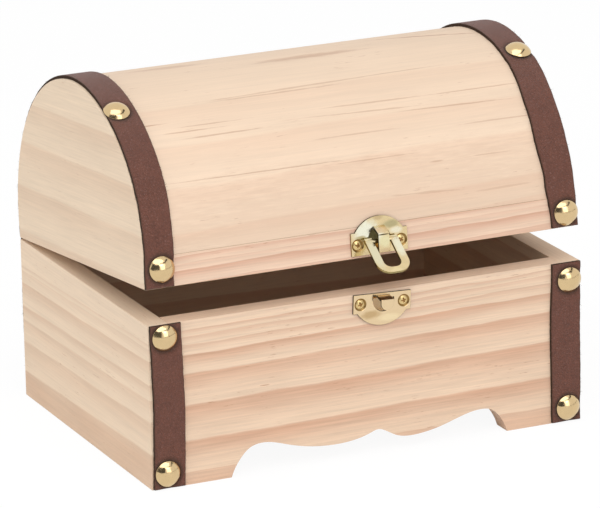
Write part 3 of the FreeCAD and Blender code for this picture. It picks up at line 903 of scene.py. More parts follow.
def driven_tree():
    """Heads set at points, each turned at random and a little out of square."""
    tree, given = new_tree("Driven heads", (
        ("Head", "Object", None), ("Tilt", "Float", 0.0), ("Twist", "Float", 0.0),
        ("Seed", "Int", 0), ("Finish", "Material", None)))
    most = joined(given["Tilt"], given["Tilt"], given["Twist"])
    turn = random_turn(stored(tree, "outwards", "FLOAT_VECTOR"), scaled(most, -1.0), most,
                       given["Seed"])
    head = result(tree, "GeometryNodeObjectInfo", {"Object": given["Head"]}, "Geometry")
    spread = result(tree, "GeometryNodeInstanceOnPoints",
                    {"Points": given["Geometry"], "Instance": head, "Rotation": turn})
    close_tree(spread, given["Finish"])
    return tree


def drive_heads(label, nodes_of_bodies, head, finish, tilt, first_seed):
    """One piece for each body, with a head at each of its nails or screws."""
    tree = driven_tree()
    for seed, (body, nodes) in enumerate(nodes_of_bodies.items(), first_seed):
        name = body + "_" + label
        piece = grow(name, driven_points(name + "_places", nodes), tree, {
            "Head": head, "Tilt": tilt, "Twist": math.pi, "Seed": seed,
            "Finish": finish})
        stand_for(piece, body, "brass", *nodes)
    bpy.data.objects.remove(head)


def round_steps():
    """The angles of the steps round a head."""
    return [2 * math.pi * index / HEAD_STEPS for index in range(HEAD_STEPS)]


def turned_shape(name, profile):
    """A closed round mesh from a profile of (radius, height), axis points at each end."""
    work = bmesh.new()
    rings = []
    for radius, height in profile:
        if radius == 0.0:
            rings.append([work.verts.new((0.0, 0.0, height))])
            continue
        rings.append([work.verts.new((radius * math.cos(a), radius * math.sin(a), height))
                      for a in round_steps()])
    for first, second in zip(rings, rings[1:]):
        for index in range(HEAD_STEPS):
            after = (index + 1) % HEAD_STEPS
            corners = [first[index % len(first)], first[after % len(first)],
                       second[after % len(second)], second[index % len(second)]]
            corners = list(dict.fromkeys(corners))
            if len(corners) > 2:
                work.faces.new(corners)
    bmesh.ops.recalc_face_normals(work, faces=work.faces)
    for face in work.faces:
        face.smooth = True
    return placed(name, finished_mesh(work, name))


def ball_radius(radius, height):
    """The radius of the ball that a cap of this radius and height is cut from."""
    return (radius ** 2 + height ** 2) / (2 * height)


def dome_head():
    """A nail's dome: a spherical cap with a small turned-down lip."""
    radius, height = head_size("body_nails_front_left")
    ball = ball_radius(radius, height)
    edge = math.asin((radius - DOME_LIP) / ball)
    profile = [(0.0, height)]
    for index in range(1, DOME_RINGS + 1):
        angle = edge * index / DOME_RINGS
        profile.append((ball * math.sin(angle), height - ball * (1 - math.cos(angle))))
    rim = profile[-1][1]
    profile += [(radius, rim - DOME_LIP), (radius, 0.0), (radius * 0.9, 0.0),
                (radius * 0.8, DOME_HOLLOW), (0.0, DOME_HOLLOW)]
    return turned_shape("nail_head", profile)


def cross_head():
    """A small round screw head with a cross recess."""
    radius, height = head_size("catch_screws")
    ball = ball_radius(radius, height)
    work = bmesh.new()
    grid = []
    for ring in range(SCREW_RINGS + 1):
        out = radius * ring / SCREW_RINGS
        top = math.sqrt(ball ** 2 - out ** 2) - (ball - height)
        places = [(out * math.cos(a), out * math.sin(a)) for a in round_steps()]
        grid.append([work.verts.new((x, y, top - recess_depth(x, y, height)))
                     for x, y in (places if ring else places[:1])])
    grid.append([work.verts.new((vert.co.x, vert.co.y, -SCREW_SKIRT))
                 for vert in grid[-1]])
    for index in range(HEAD_STEPS):
        after = (index + 1) % HEAD_STEPS
        work.faces.new([grid[0][0], grid[1][index], grid[1][after]])
        for inner, outer in zip(grid[1:], grid[2:]):
            work.faces.new([inner[index], outer[index], outer[after], inner[after]])
    work.faces.new(list(reversed(grid[-1])))
    bmesh.ops.recalc_face_normals(work, faces=work.faces)
    for face in work.faces:
        face.smooth = len(face.verts) < 5
    mesh = finished_mesh(work, "screw_head")
    mark_points(mesh, "recess", "FLOAT", [
        1.2 * recess_depth(vert.co.x, vert.co.y, height) / height if vert.co.z > 0.0
        else 0.0 for vert in mesh.vertices])
    return placed("screw_head", mesh)


def recess_depth(x, y, height):
    """How far the cross recess goes down at a point of the screw head."""
    short_way, long_way = sorted((abs(x), abs(y)))
    across = 1.0 - smooth(short_way, CROSS_HALF * 0.6, CROSS_HALF * 1.5)
    along = 1.0 - smooth(long_way, CROSS_REACH * 0.6, CROSS_REACH)
    return CROSS_DEPTH * height * across * along


def smooth(value, low, high):
    share = min(1.0, max(0.0, (value - low) / (high - low)))
    return share * share * (3 - 2 * share)


# ---------------------------------------------------------------- straps


# How far the body straps stand above their frame nodes, and how finely straps are laid.
BODY_STRAP_RISE = 0.35 * MM
BODY_STRAP_STEPS = 24
BODY_STRAP_ROWS = 90
LID_STRAP_STEP = 1.0 * MM
LID_STRAP_ROWS = 260
LID_STRAP_SEED = 20

# How much a fibre bows: its sideways move over the square of its height, in metres.
FIBRE_BOW = 450.0

# How each hand-laid strap strays: mm along it, its left edge's move, its right edge's.
STRAYS = {
    "body_strap_front_left": ((0, -0.1, 0.4), (14, 0.3, 0.8), (29, 0.65, 1.1),
                              (43, 0.35, 0.7), (59, -0.1, 0.3)),
    "body_strap_front_right": ((0, 0.0, 0.1), (20, -0.2, 0.27), (35, -0.4, 0.13),
                               (59, 0.3, 0.38)),
    "body_strap_back_left": ((0, 0.1, 0.1), (28, -0.2, 0.3), (59, 0.3, -0.2)),
    "body_strap_back_right": ((0, -0.3, 0.0), (35, 0.2, 0.2), (59, -0.2, -0.2)),
    "lid_strap_left": ((0, -0.9, -1.5), (15, -0.4, -0.7), (37, -0.1, -0.05),
                       (62, 0.1, 0.1), (100, 0.6, 0.5), (150, 0.1, 0.0),
                       (202, -0.2, 0.3)),
    "lid_strap_right": ((2, 0.7, -0.2), (17, -0.95, -0.85), (32, -2.1, -1.2),
                        (42, -1.6, -1.1), (66, 0.1, -0.1), (80, 0.4, 0.3),
                        (100, 0.4, 0.7), (150, 0.4, 0.3), (202, -0.2, -0.1)),
}


def dome_points(dome, step_length):
    """Points along the closed lid's outline from the front edge over to the back edge."""
    half = BOX_DEPTH / 2
    crown_z = dome.height - dome.crown
    back_z = dome.height - dome.back
    shoulder_y = half - dome.shoulder
    reach = dome.crown - dome.shoulder
    shoulder_z = crown_z + math.sqrt(reach ** 2 - shoulder_y ** 2)
    join = math.asin(shoulder_y / reach)
    upright = math.pi / 2
    outline = upright_points(-half, STRAP_FOOT, shoulder_z, step_length)
    for centre, radius, start, end in (
            ((-shoulder_y, shoulder_z), dome.shoulder, -upright, -join),
            ((0.0, crown_z), dome.crown, -join, 0.0),
            ((0.0, back_z), dome.back, 0.0, upright)):
        outline += arc_points(centre, radius, start, end, step_length)
    outline += upright_points(half, back_z, STRAP_FOOT, step_length)
    outline.append((half, STRAP_FOOT))
    return [Vector((0.0, BOX_CENTRE_Y + y, LID_BASE + z)) for y, z in outline]


def evenly(start, end, count):
    """Evenly spaced values, without the last."""
    return [start + (end - start) * index / count for index in range(count)]


def upright_points(y, start, end, step_length):
    """Evenly spaced points on an upright line, without its end."""
    count = max(2, round(abs(end - start) / step_length))
    return [(y, z) for z in evenly(start, end, count)]


def arc_points(centre, radius, start, end, step_length):
    """Evenly spaced points on an arc, by angles from the top, without its end."""
    count = max(2, round(radius * abs(end - start) / step_length))
    return [(centre[0] + radius * math.sin(angle), centre[1] + radius * math.cos(angle))
            for angle in evenly(start, end, count)]


def path_mesh(name, path, halves):
    """An open chain of edges that also carries half the strap's width at each point."""
    mesh = bpy.data.meshes.new(name)
    mesh.from_pydata(path, [(index, index + 1) for index in range(len(path) - 1)], [])
    mark_points(mesh, "half_width", "FLOAT", halves)
    return mesh


def strayed(path, low, high, strays):
    """A path and its half widths, with both edges moved off the straight.

    Each stray is (how far along in mm, left edge, right edge), both moves in mm.
    """
    lengths = [0.0]
    for first, second in zip(path, path[1:]):
        lengths.append(lengths[-1] + (second - first).length / MM)
    points = []
    halves = []
    for point, length in zip(path, lengths):
        left = low.x + between(strays, length, 1) * MM
        right = high.x + between(strays, length, 2) * MM
        points.append(Vector(((left + right) / 2, point.y, point.z)))
        halves.append((right - left) / 2)
    return points, halves


def between(stops, length, column):
    """The eased value of a column of stops at a length along them."""
    if length <= stops[0][0]:
        return stops[0][column]
    for first, second in zip(stops, stops[1:]):
        if length <= second[0]:
            share = smooth(length, first[0], second[0])
            return first[column] + (second[column] - first[column]) * share
    return stops[-1][column]


def on_long_edge(tree, limit):
    """1 where a strap's face looks sideways, as its long cut edges do."""
    normal = result(tree, "GeometryNodeInputNormal")
    sideways = normal.vector_calc("DOT_PRODUCT", (1.0, 0.0, 0.0)).calc("ABSOLUTE")
    return sideways.calc("GREATER_THAN", limit)


def strap_tree():
    """A flat strap laid along a path in a plane of constant X.

    It starts as a block, whose X runs across the strap, Y along it and Z through it.
    """
    tree, given = new_tree("Laid strap", (
        ("Thickness", "Float", 0.001), ("Rounding", "Float", 0.0),
        ("Dimple", "Float", 0.0), ("Nail radius", "Float", 0.001),
        ("Nails", "Object", None), ("Rows", "Int", 100), ("Seed", "Int", 0),
        ("Face", "Material", None), ("Cut edge", "Material", None)))
    block = result(tree, "GeometryNodeMeshCube",
                   {"Size": (1.0, 1.0, 1.0), "Vertices X": 25, "Vertices Y": given["Rows"],
                    "Vertices Z": 4}, "Mesh")
    local = split(result(tree, "GeometryNodeInputPosition"))
    across = local[0] * 2.0
    along = local[1] + 0.5
    through = local[2] + 0.5

    # Rows stand closer together towards the long edges
    side = across.calc("SIGN")
    off_middle = across.calc("ABSOLUTE")
    share = 1.0 - (1.0 - off_middle).calc("POWER", 1.9)
    curve = result(tree, "GeometryNodeMeshToCurve", {"Mesh": given["Geometry"]})
    sample = add(tree, "GeometryNodeSampleCurve",
                 {"Curves": curve, "Factor": along, "Value": stored(tree, "half_width")},
                 mode="FACTOR", data_type="FLOAT").outputs
    half = Value(sample["Value"])
    base = Value(sample["Position"])
    outwards = Value(sample["Tangent"]).vector_calc("CROSS_PRODUCT", (-1.0, 0.0, 0.0))

    # Each cut edge is a little uneven by itself
    seed = given["Seed"] * 3.7
    own = joined(side + seed, seed, seed)
    uneven = noise(scaled(base, 400.0).vector_calc("ADD", own), 1.0)
    sideways = side * share * half + swing(uneven, 0.2 * MM) * off_middle

    # The long edges are rounded over, and nails pull the face in
    gap = (1.0 - share) * half
    rounding = given["Rounding"]
    curl = 1.0 - (gap / rounding.calc("MAXIMUM", 1e-6)).calc("MINIMUM", 1.0)
    drop = 1.0 - (1.0 - curl * curl).calc("SQRT")
    face_point = base.vector_calc("ADD", joined(sideways))
    nails = result(tree, "GeometryNodeObjectInfo", {"Object": given["Nails"]}, "Geometry")
    near = result(tree, "GeometryNodeProximity",
                  {"Geometry": nails, "Sample Position": face_point}, "Distance",
                  target_element="POINTS")
    nail = given["Nail radius"]
    pull = step(near, nail * 0.9, nail * 1.45, 1.0, 0.0)
    height = given["Thickness"] - drop * rounding - pull * given["Dimple"]
    # The first mark is a ring round each nail, where the leather is given painted shade; rim
    # marks the long edges, for wear; end marks the cut ends.
    marks = {
        "pinch": step(near, nail * 1.02, nail * 1.4, 1.0, 0.0),
        "rim": step(gap, 0.1 * MM, 0.55 * MM, 1.0, 0.0),
        "end": (along - 0.5).calc("ABSOLUTE").calc("GREATER_THAN", 0.4999),
    }
    for label, value in marks.items():
        block = result(tree, "GeometryNodeStoreNamedAttribute",
                       {"Geometry": block, "Name": label, "Value": value},
                       data_type="FLOAT", domain="POINT")
    lift = scaled(outwards.vector_calc("NORMALIZE"), height * through)
    laid = result(tree, "GeometryNodeSetPosition",
                  {"Geometry": block, "Position": face_point.vector_calc("ADD", lift)})
    rounded = result(tree, "GeometryNodeSetShadeSmooth", {"Geometry": laid})
    faced = result(tree, "GeometryNodeSetMaterial",
                   {"Geometry": rounded, "Material": given["Face"]})
    end = stored(tree, "end").calc("GREATER_THAN", 0.9)
    close_tree(faced, given["Cut edge"], on_long_edge(tree, 0.7).calc("MAXIMUM", end))
    return tree


def fibre_tree():
    """Loose fibres that stand off the cut edges of a strap."""
    tree, given = new_tree("Loose fibres", (
        ("Density", "Float", 1e6), ("Length", "Float", 0.001), ("Seed", "Int", 0),
        ("Finish", "Material", None)))
    seed = given["Seed"]
    points = add(tree, "GeometryNodeDistributePointsOnFaces",
                 {"Mesh": given["Geometry"], "Selection": on_long_edge(tree, 0.85),
                  "Density": given["Density"], "Seed": seed}).outputs
    hair = result(tree, "GeometryNodeMeshCone",
                  {"Vertices": 3, "Side Segments": 3, "Fill Segments": 1,
                   "Radius Top": 0.012 * MM, "Radius Bottom": 0.045 * MM,
                   "Depth": 1.0 * MM}, "Mesh")
    spot = result(tree, "GeometryNodeInputPosition")
    height = split(spot)[2]
    hair = result(tree, "GeometryNodeSetPosition",
                  {"Geometry": hair, "Offset": joined(height * height * FIBRE_BOW)})
    turn = random_turn(Value(points["Normal"]), (-1.1, -1.1, -3.1), (1.1, 1.1, 3.1), seed)
    size = result(tree, "FunctionNodeRandomValue",
                  {"Min": 0.2, "Max": 1.0, "Seed": seed + 11.0}, "Value",
                  data_type="FLOAT")
    size = size.calc("POWER", 2.2) * (given["Length"] / MM)
    spread = result(tree, "GeometryNodeInstanceOnPoints",
                    {"Points": Value(points["Points"]), "Instance": hair,
                     "Rotation": turn, "Scale": size})
    real = result(tree, "GeometryNodeRealizeInstances", {"Geometry": spread})
    above = spot.vector_calc("MAXIMUM", (-1.0, -1.0, 0.02 * MM))
    kept = result(tree, "GeometryNodeSetPosition", {"Geometry": real, "Position": above})
    close_tree(kept, given["Finish"])
    return tree


def lay_strap(node, body, path, nails, rows, seed, tree, finishes, settings):
    """One strap along a path, in place of its frame node."""
    name = "leather_" + node
    on_lid = body == "lid"
    # One point for each nail, on the closed chest, for the dimples
    spots = placed(name + "_spots", driven_points(name + "_spots", [nails]))
    spots.data.transform(TO_CLOSED if on_lid else Matrix())
    points, halves = strayed(path, *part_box(node), STRAYS[node])
    piece = grow(name, path_mesh(name + "_path", points, halves), tree, {
        "Thickness": STRAP_THICK, "Rounding": settings.crown, "Dimple": settings.dimple,
        "Nail radius": head_size(nails)[0], "Nails": spots, "Rows": rows,
        "Seed": seed, "Face": finishes[0], "Cut edge": finishes[1]})
    if on_lid:
        piece.data.transform(TO_AJAR)
    bpy.data.objects.remove(spots)
    stand_for(piece, body, "strap_leather", node)
    return piece


def body_strap_path(node):
    """Points up the front of the box, or down its back, for one strap."""
    low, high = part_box(node)
    ends = (low.z, high.z + BODY_STRAP_RISE)
    y = high.y
    if "back" in node:
        ends = ends[::-1]
        y = low.y
    heights = [*evenly(*ends, BODY_STRAP_STEPS), ends[1]]
    return [Vector((0.0, y, z)) for z in heights]


def joined_mesh(name, pieces):
    """One mesh with the faces of several pieces."""
    work = bmesh.new()
    for piece in pieces:
        work.from_mesh(piece.data)
    return finished_mesh(work, name)


# ---------------------------------------------------------------- latch and hinges


# What sets a bent tongue and a screw's seat apart from the cut edges of a latch piece.
SHEET_SLOPE = 0.9
TONGUE_RISE = 1.0 * MM
TONGUE_SLOPE = 0.5
SEAT_REACH = 2.6 * MM

# Patches of uneven plate colour and of painted light: place as shares of the piece's width and
# height, reach in mm, colour. On the latch plate and the loop the near-white patches are painted
# highlights, the olive patch at the latch plate's upper right is a painted reflection of dark
# surroundings, and the thin dark patch is painted shade along the bridge's ridge; the catch
# plate's palest patch is a painted highlight.
PLATING_AND_REFLECTIONS = {
    "latch_plate": (((0.27, 0.62), (5.8, 4.8), screen(238, 236, 214)),
                    ((0.72, 0.74), (3.8, 1.7), screen(186, 174, 132)),
                    ((0.17, 0.47), (2.4, 0.9), screen(190, 176, 134)),
                    ((0.8, 0.56), (2.8, 1.4), screen(236, 228, 200)),
                    ((0.5, 0.96), (2.2, 1.2), screen(204, 180, 138)),
                    ((0.52, 0.4), (3.0, 2.6), screen(230, 220, 176)),
                    ((0.52, 0.12), (3.0, 1.4), screen(214, 188, 146)),
                    ((0.5, 0.575), (2.8, 0.26), screen(84, 66, 34))),
    "latch_loop": (((0.12, 0.6), (2.8, 4.6), screen(226, 218, 184)),
                   ((0.9, 0.7), (2.2, 3.2), screen(236, 230, 202)),
                   ((0.5, 0.1), (2.4, 1.2), screen(234, 214, 166))),
    "catch_plate": (((0.5, 0.5), (30.0, 30.0), screen(228, 202, 162)),
                    ((0.3, 0.35), (4.4, 1.8), screen(200, 170, 126)),
                    ((0.62, 0.2), (5.4, 1.6), screen(238, 216, 174))),
}


def plating_and_reflection_patches(node):
    """The patches of uneven plate colour and painted light of a latch piece, in its own place.
    """
    low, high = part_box(node)
    size = high - low
    return [(Vector((low.x + size.x * across, 0.0, low.z + size.z * up)), reach, colour)
            for (across, up), reach, colour in PLATING_AND_REFLECTIONS[node]]


def sheet_finish(face, middle, sheet, screws):
    """0 for the face of the sheet or a bent tongue, 1 for a cut edge, 2 for a seat; the finishes
    of the cut edges and the seats hold painted shade.
    """
    rise = abs((face.center - middle).dot(sheet))
    tongue = rise > TONGUE_RISE and abs(face.normal.x) < TONGUE_SLOPE
    if abs(face.normal.dot(sheet)) >= SHEET_SLOPE or tongue:
        return 0
    near = min((face.center - place).length for place in screws)
    return 2 if near < SEAT_REACH else 1


# ---------------------------------------------------------------- stage


WHITE = (1.0, 1.0, 1.0, 1.0)
FLOOR_HALF = 6.0

# How much of the floor that is seen or mirrored is a plain glow, the rest being lit,
# and how bright that glow is.
FLOOR_GLOW = 0.9
GLOW_STRENGTH = 1.03

# What every lamp points at, above the middle of the chest's foot.
LAMP_AIM = Vector((0.0, 0.0, 0.06))

# The corners of each dark card, in order round it.
CARDS = {
    "side_card": ((-1.2, -0.35, 0.1), (-0.95, -0.9, 0.13), (-0.95, -0.9, 1.1),
                  (-1.2, -0.35, 1.0)),
    "front_card": ((-0.95, -0.9, 0.13), (-0.42, -1.15, 0.15), (-0.42, -1.15, 1.05),
                   (-0.95, -0.9, 1.1)),
    "front_edge_card": ((-0.24, -1.07, 0.95), (0.66, -0.88, 0.95), (0.66, -0.88, 1.18),
                        (-0.24, -1.07, 1.08)),
    "right_edge_card": ((0.66, -0.88, 0.95), (1.09, -0.1, 1.0), (1.09, -0.1, 1.4),
                        (0.66, -0.88, 1.18)),
    "right_skirting": ((0.56, -1.1, 0.11), (1.3, 0.0, 0.11), (1.3, 0.0, 0.15),
                       (0.56, -1.1, 0.15)),
    "front_skirting": ((-0.42, -1.16, 0.12), (0.56, -1.1, 0.12), (0.56, -1.1, 0.15),
                       (-0.42, -1.16, 0.15)),
}

# The size of the picture, and where the lens's axis meets it, counted from its top left.
PICTURE_WIDTH = 600.0
PICTURE_HEIGHT = 508.0
CENTRE_ACROSS = 308.7
CENTRE_DOWN = 253.0
SENSOR_MM = 36.0


def flat_piece(name, corners, material):
    """A flat sheet of the stage."""
    mesh = bpy.data.meshes.new(name)
    mesh.from_pydata(corners, [], [tuple(range(len(corners)))])
    piece = placed(name, mesh)
    paint(piece, material)
    return piece


def seen_directly(tree):
    """1 where the eye, a mirror or a clear sheet looks, and 0 for plain lighting."""
    path = add(tree, "ShaderNodeLightPath").outputs
    seen = Value(path["Is Camera Ray"]).calc("MAXIMUM", Value(path["Is Glossy Ray"]))
    return seen.calc("MAXIMUM", Value(path["Is Transmission Ray"]))


def white_glow(tree, strength):
    return result(tree, "ShaderNodeEmission", {"Color": WHITE, "Strength": strength})


def show(tree, surface):
    """Makes a shader what the material shows."""
    set_sockets(tree.nodes["Material Output"], {"Surface": surface})


def lay_floor(settings):
    """A plain pale floor, seen and mirrored as white, that keeps a light shadow."""
    material, tree, shader = new_material("floor_white")
    set_sockets(shader, {"Base Color": (*settings.floor, 1.0), "Roughness": 0.9,
                         "Specular IOR Level": 0.0})
    lit = Value(shader.outputs[0])
    show(tree, result(tree, "ShaderNodeMixShader", (
        seen_directly(tree) * FLOOR_GLOW, lit, white_glow(tree, GLOW_STRENGTH))))
    corners = ((-1, -1), (1, -1), (1, 1), (-1, 1))
    flat_piece("floor", [(x * FLOOR_HALF, y * FLOOR_HALF, 0.0) for x, y in corners],
               material)


def hang_cards(settings):
    """Dark cards that only the metal mirrors, so that its roundness shows."""
    material, tree, _ = new_material("card_dark")
    show(tree, white_glow(tree, settings.card))
    for name, corners in CARDS.items():
        card = flat_piece(name, corners, material)
        for ray in ("camera", "diffuse", "transmission", "volume_scatter", "shadow"):
            setattr(card, "visible_" + ray, False)


def light_world(scene, settings):
    """An even surround that is seen, and mirrored in the metal, as plain white."""
    world = bpy.data.worlds.new("surround")
    world.use_nodes = True
    tree = world.node_tree
    strength = seen_directly(tree) * (1.0 - settings.world)
    strength = strength + settings.world
    set_sockets(tree.nodes["Background"], {"Color": WHITE, "Strength": strength})
    scene.world = world


def soft_light(name, power, size, place):
    """An oblong soft light that faces the chest."""
    lamp = bpy.data.lights.new(name, "AREA")
    lamp.energy = power
    lamp.shape = "RECTANGLE"
    lamp.size, lamp.size_y = size
    light = placed(name, lamp)
    light.location = place
    light.rotation_euler = (LAMP_AIM - Vector(place)).to_track_quat("-Z", "Y").to_euler()
    return light


def set_camera(scene, settings):
    """A long lens, a little above and to the left of the chest's front."""
    lens = bpy.data.cameras.new("camera")
    lens.sensor_width = SENSOR_MM
    lens.lens = settings.focal
    lens.shift_x = 0.5 - CENTRE_ACROSS / PICTURE_WIDTH
    lens.shift_y = (CENTRE_DOWN - PICTURE_HEIGHT / 2) / PICTURE_WIDTH
    lens.clip_start = 0.05
    lens.clip_end = 50.0
    camera = placed("camera", lens)
    turn = settings.azimuth
    rise = settings.elevation
    back = Vector((math.sin(turn) * math.cos(rise), -math.cos(turn) * math.cos(rise),
                   math.sin(rise)))
    right = Vector((math.cos(turn), math.sin(turn), 0.0))
    level = Matrix((right, back.cross(right), back)).transposed().to_4x4()
    camera.matrix_world = (Matrix.Translation(Vector(settings.place)) @ level
                           @ Matrix.Rotation(-settings.roll, 4, "Z"))
    scene.camera = camera


# ---------------------------------------------------------------- operators


# How far the edges of the lid's skin and of the hinge leaves are eased.
SKIN_EASE = 0.18 * MM
HINGE_EASE = 0.12 * MM


class CHEST_OT_body_boards(Operator):
    """Ease the edges of the box's boards and give them their pine"""
    bl_idname = "chest.body_boards"
    bl_label = "Body boards"

    def execute(self, context):
        settings = context.scene.chest_pine
        # Painted light: the catch's pocket is near white, so that its shaded niche shows light
        # tan.
        pocket = pocket_paint("catch_pocket_painted_light", screen(250, 218, 172), screen(255, 240, 208))
        for node, sawn in body_grains().items():
            piece = eased_piece(node, "pine_" + node, settings.arris, BOARD_HOLE_EDGE)
            finish = pine(node + "_pine", settings, sawn, turned="side" in node)
            finish_faces(piece, (finish, pocket), lambda face: in_pocket(face.center))
            stand_for(piece, "box", "pine", node)
        paint(NODES["bottom_panel"], plywood("bottom_plywood", settings))
        return {"FINISHED"}


class CHEST_OT_lid_boards(Operator):
    """Ease the edges of the lid's boards and give them their pine"""
    bl_idname = "chest.lid_boards"
    bl_label = "Lid boards"

    def execute(self, context):
        settings = context.scene.chest_pine
        crown = context.scene.chest_dome.crown
        # Painted shade: the window's pocket is olive, the colour of the shaded opening under the
        # bridge.
        pocket = pocket_paint("window_pocket_painted_shade", screen(150, 140, 88), screen(214, 204, 150))
        for node, sawn in lid_grains().items():
            piece = eased_piece(node, "pine_" + node, settings.arris, BOARD_HOLE_EDGE)
            finish = pine(node + "_pine", settings, sawn, lid=True,
                          turned=node.endswith("_end"))
            finish_faces(piece, (finish, pocket),
                         lambda face: in_pocket(TO_CLOSED @ face.center))
            stand_for(piece, "lid", "pine", node)
        skin = eased_piece("lid_top_skin", "pine_lid_top_skin", SKIN_EASE,
                           BOARD_HOLE_EDGE)
        paint(skin, pine("lid_skin_pine", settings, skin_grain(), lid=True, bent=crown))
        stand_for(skin, "lid", "pine_skin", "lid_top_skin")
        return {"FINISHED"}


class CHEST_OT_straps(Operator):
    """Lay the leather straps, with their cut edges and loose fibres"""
    bl_idname = "chest.straps"
    bl_label = "Straps"

    def execute(self, context):
        settings = context.scene.chest_straps
        tree = strap_tree()
        finishes = (leather("strap_leather", settings),
                    raw_edge("strap_cut_edge", settings.cut))
        straps = {"box": [], "lid": []}
        corners = ("front_left", "front_right", "back_left", "back_right")
        for index, corner in enumerate(corners):
            node = "body_strap_" + corner
            straps["box"].append(lay_strap(
                node, "box", body_strap_path(node), "body_nails_" + corner,
                BODY_STRAP_ROWS, settings.seed + index, tree, finishes, settings))
        path = dome_points(context.scene.chest_dome, LID_STRAP_STEP)
        for index, side in enumerate(("left", "right"), LID_STRAP_SEED):
            straps["lid"].append(lay_strap(
                "lid_strap_" + side, "lid", path, "lid_nails_" + side, LID_STRAP_ROWS,
                settings.seed + index, tree, finishes, settings))
        fibres = fibre_tree()
        fuzz = raw_edge("strap_fibres", settings.cut)
        for body, pieces in straps.items():
            base = joined_mesh(body + "_strap_faces", pieces)
            grown = grow(body + "_strap_fibres", base, fibres, {
                "Density": settings.fibre_count, "Length": settings.fibre,
                "Seed": settings.seed, "Finish": fuzz})
            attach(grown, body)
        return {"FINISHED"}


class CHEST_OT_nails(Operator):
    """Drive the dome nails through the straps"""
    bl_idname = "chest.nails"
    bl_label = "Dome nails"

    def execute(self, context):
        settings = context.scene.chest_brass
        finish = brass("nail_brass", settings.nail, settings.polish, 0.1 * MM)
        drive_heads("dome_nails", NAIL_NODES, dome_head(), finish, settings.tilt,
                    NAIL_SEED)
        return {"FINISHED"}


class CHEST_OT_screws(Operator):
    """Turn in the small cross-head screws of the latch and the hinges"""
    bl_idname = "chest.screws"
    bl_label = "Screws"

    def execute(self, context):
        settings = context.scene.chest_brass
        finish = brass("screw_brass", settings.screw, 0.3, 0.05 * MM)
        drive_heads("cross_screws", SCREW_NODES, cross_head(), finish, SCREW_TILT,
                    SCREW_SEED)
        return {"FINISHED"}


class CHEST_OT_latch(Operator):
    """Finish the latch plate, its swinging loop and the catch plate"""
    bl_idname = "chest.latch"
    bl_label = "Latch"

    def execute(self, context):
        settings = context.scene.chest_brass
        # Painted shade: the plates' cut edges are dark, for their outline.
        raw = brass("cut_sheet_shade_brass", settings.cut, 0.35, 0.05 * MM)
        # Painted shade on the loop's edges.
        wire = brass("loop_edge_shade_brass", settings.loop_edge_shade, 0.25, 0.05 * MM)
        # Painted shade on the screw seats.
        seat = brass("screw_seat_shade_brass", settings.seat, 0.3, 0.05 * MM)
        screws = [driven_at(points)[0] for node in ("latch_plate_screws", "catch_screws")
                  for points in islands(node)]
        for node, body in (("latch_plate", "lid"), ("catch_plate", "box"),
                           ("latch_loop", "loop")):
            piece = eased_piece(node, "brass_" + node, settings.rounding, LATCH_HOLE_EDGE,
                                segments=3)
            finish = brass(node + "_brass", settings.plate, settings.polish, 0.6 * MM, 0.1,
                           plating_and_reflection_patches(node))
            sheet = max(piece.data.polygons, key=lambda face: face.area)
            edge = wire if body == "loop" else raw
            finish_faces(piece, (finish, edge, seat),
                         lambda face: sheet_finish(face, sheet.center, sheet.normal, screws))
            stand_for(piece, body, "brass", node)
        return {"FINISHED"}


class CHEST_OT_hinges(Operator):
    """Finish the two butt hinges on the back"""
    bl_idname = "chest.hinges"
    bl_label = "Hinges"

    def execute(self, context):
        settings = context.scene.chest_brass
        finish = brass("hinge_brass", settings.hinge, 0.22, 0.08 * MM)
        wire = steel("pin_steel")
        for side in ("left", "right"):
            for part, body in (("lower", "box"), ("upper", "lid")):
                node = f"hinge_{part}_leaf_{side}"
                piece = eased_piece(node, "brass_" + node, HINGE_EASE, HINGE_HOLE_EDGE)
                paint(piece, finish)
                stand_for(piece, body, "brass", node)
            paint(NODES["hinge_pin_" + side], wire)
        return {"FINISHED"}


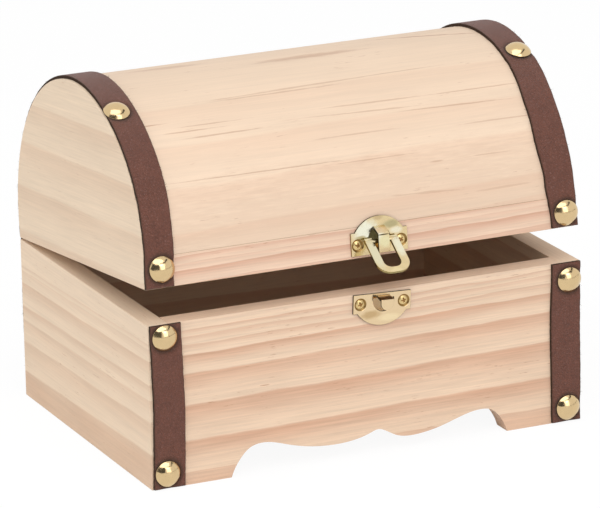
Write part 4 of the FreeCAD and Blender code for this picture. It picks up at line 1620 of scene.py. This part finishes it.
class CHEST_OT_stage(Operator):
    """Set the floor, the soft lights, the surround and the camera"""
    bl_idname = "chest.stage"
    bl_label = "Stage"

    def execute(self, context):
        settings = context.scene.chest_studio
        lay_floor(settings)
        light_world(context.scene, settings)
        soft_light("key", settings.key, (1.7, 1.2), (-0.35, -0.786, 1.29))
        soft_light("fill", settings.fill, (0.62, 0.7), (0.09, -1.06, 0.5))
        side = soft_light("side", settings.side, (0.8, 0.8), (-1.4, 0.15, 0.5))
        side.visible_glossy = False
        hang_cards(settings)
        set_camera(context.scene, settings)
        context.scene.view_settings.view_transform = "Standard"
        return {"FINISHED"}


# ---------------------------------------------------------------- panel and register


PIECE_OPERATORS = (CHEST_OT_body_boards, CHEST_OT_lid_boards, CHEST_OT_straps,
                   CHEST_OT_nails, CHEST_OT_screws, CHEST_OT_latch, CHEST_OT_hinges,
                   CHEST_OT_stage)
SETTING_NAMES = ("chest_dome", "chest_pine", "chest_straps", "chest_brass",
                 "chest_studio")


class CHEST_PT_steps(Panel):
    """Lists the steps that finish the chest"""
    bl_idname = "CHEST_PT_steps"
    bl_label = "Chest"
    bl_space_type = "VIEW_3D"
    bl_region_type = "UI"
    bl_category = "Chest"

    def draw(self, context):
        for operator in PIECE_OPERATORS:
            self.layout.operator(operator.bl_idname)


CLASSES = SETTING_CLASSES + PIECE_OPERATORS + (CHEST_PT_steps,)


def register():
    for group in CLASSES:
        bpy.utils.register_class(group)
    for name, group in zip(SETTING_NAMES, SETTING_CLASSES):
        setattr(bpy.types.Scene, name, PointerProperty(type=group))


def unregister():
    for name in SETTING_NAMES:
        delattr(bpy.types.Scene, name)
    for group in reversed(CLASSES):
        bpy.utils.unregister_class(group)


def main():
    register()
    bpy.ops.chest.body_boards()
    bpy.ops.chest.lid_boards()
    bpy.ops.chest.straps()
    bpy.ops.chest.nails()
    bpy.ops.chest.screws()
    bpy.ops.chest.latch()
    bpy.ops.chest.hinges()
    bpy.ops.chest.stage()


if __name__ == "__main__":
    main()
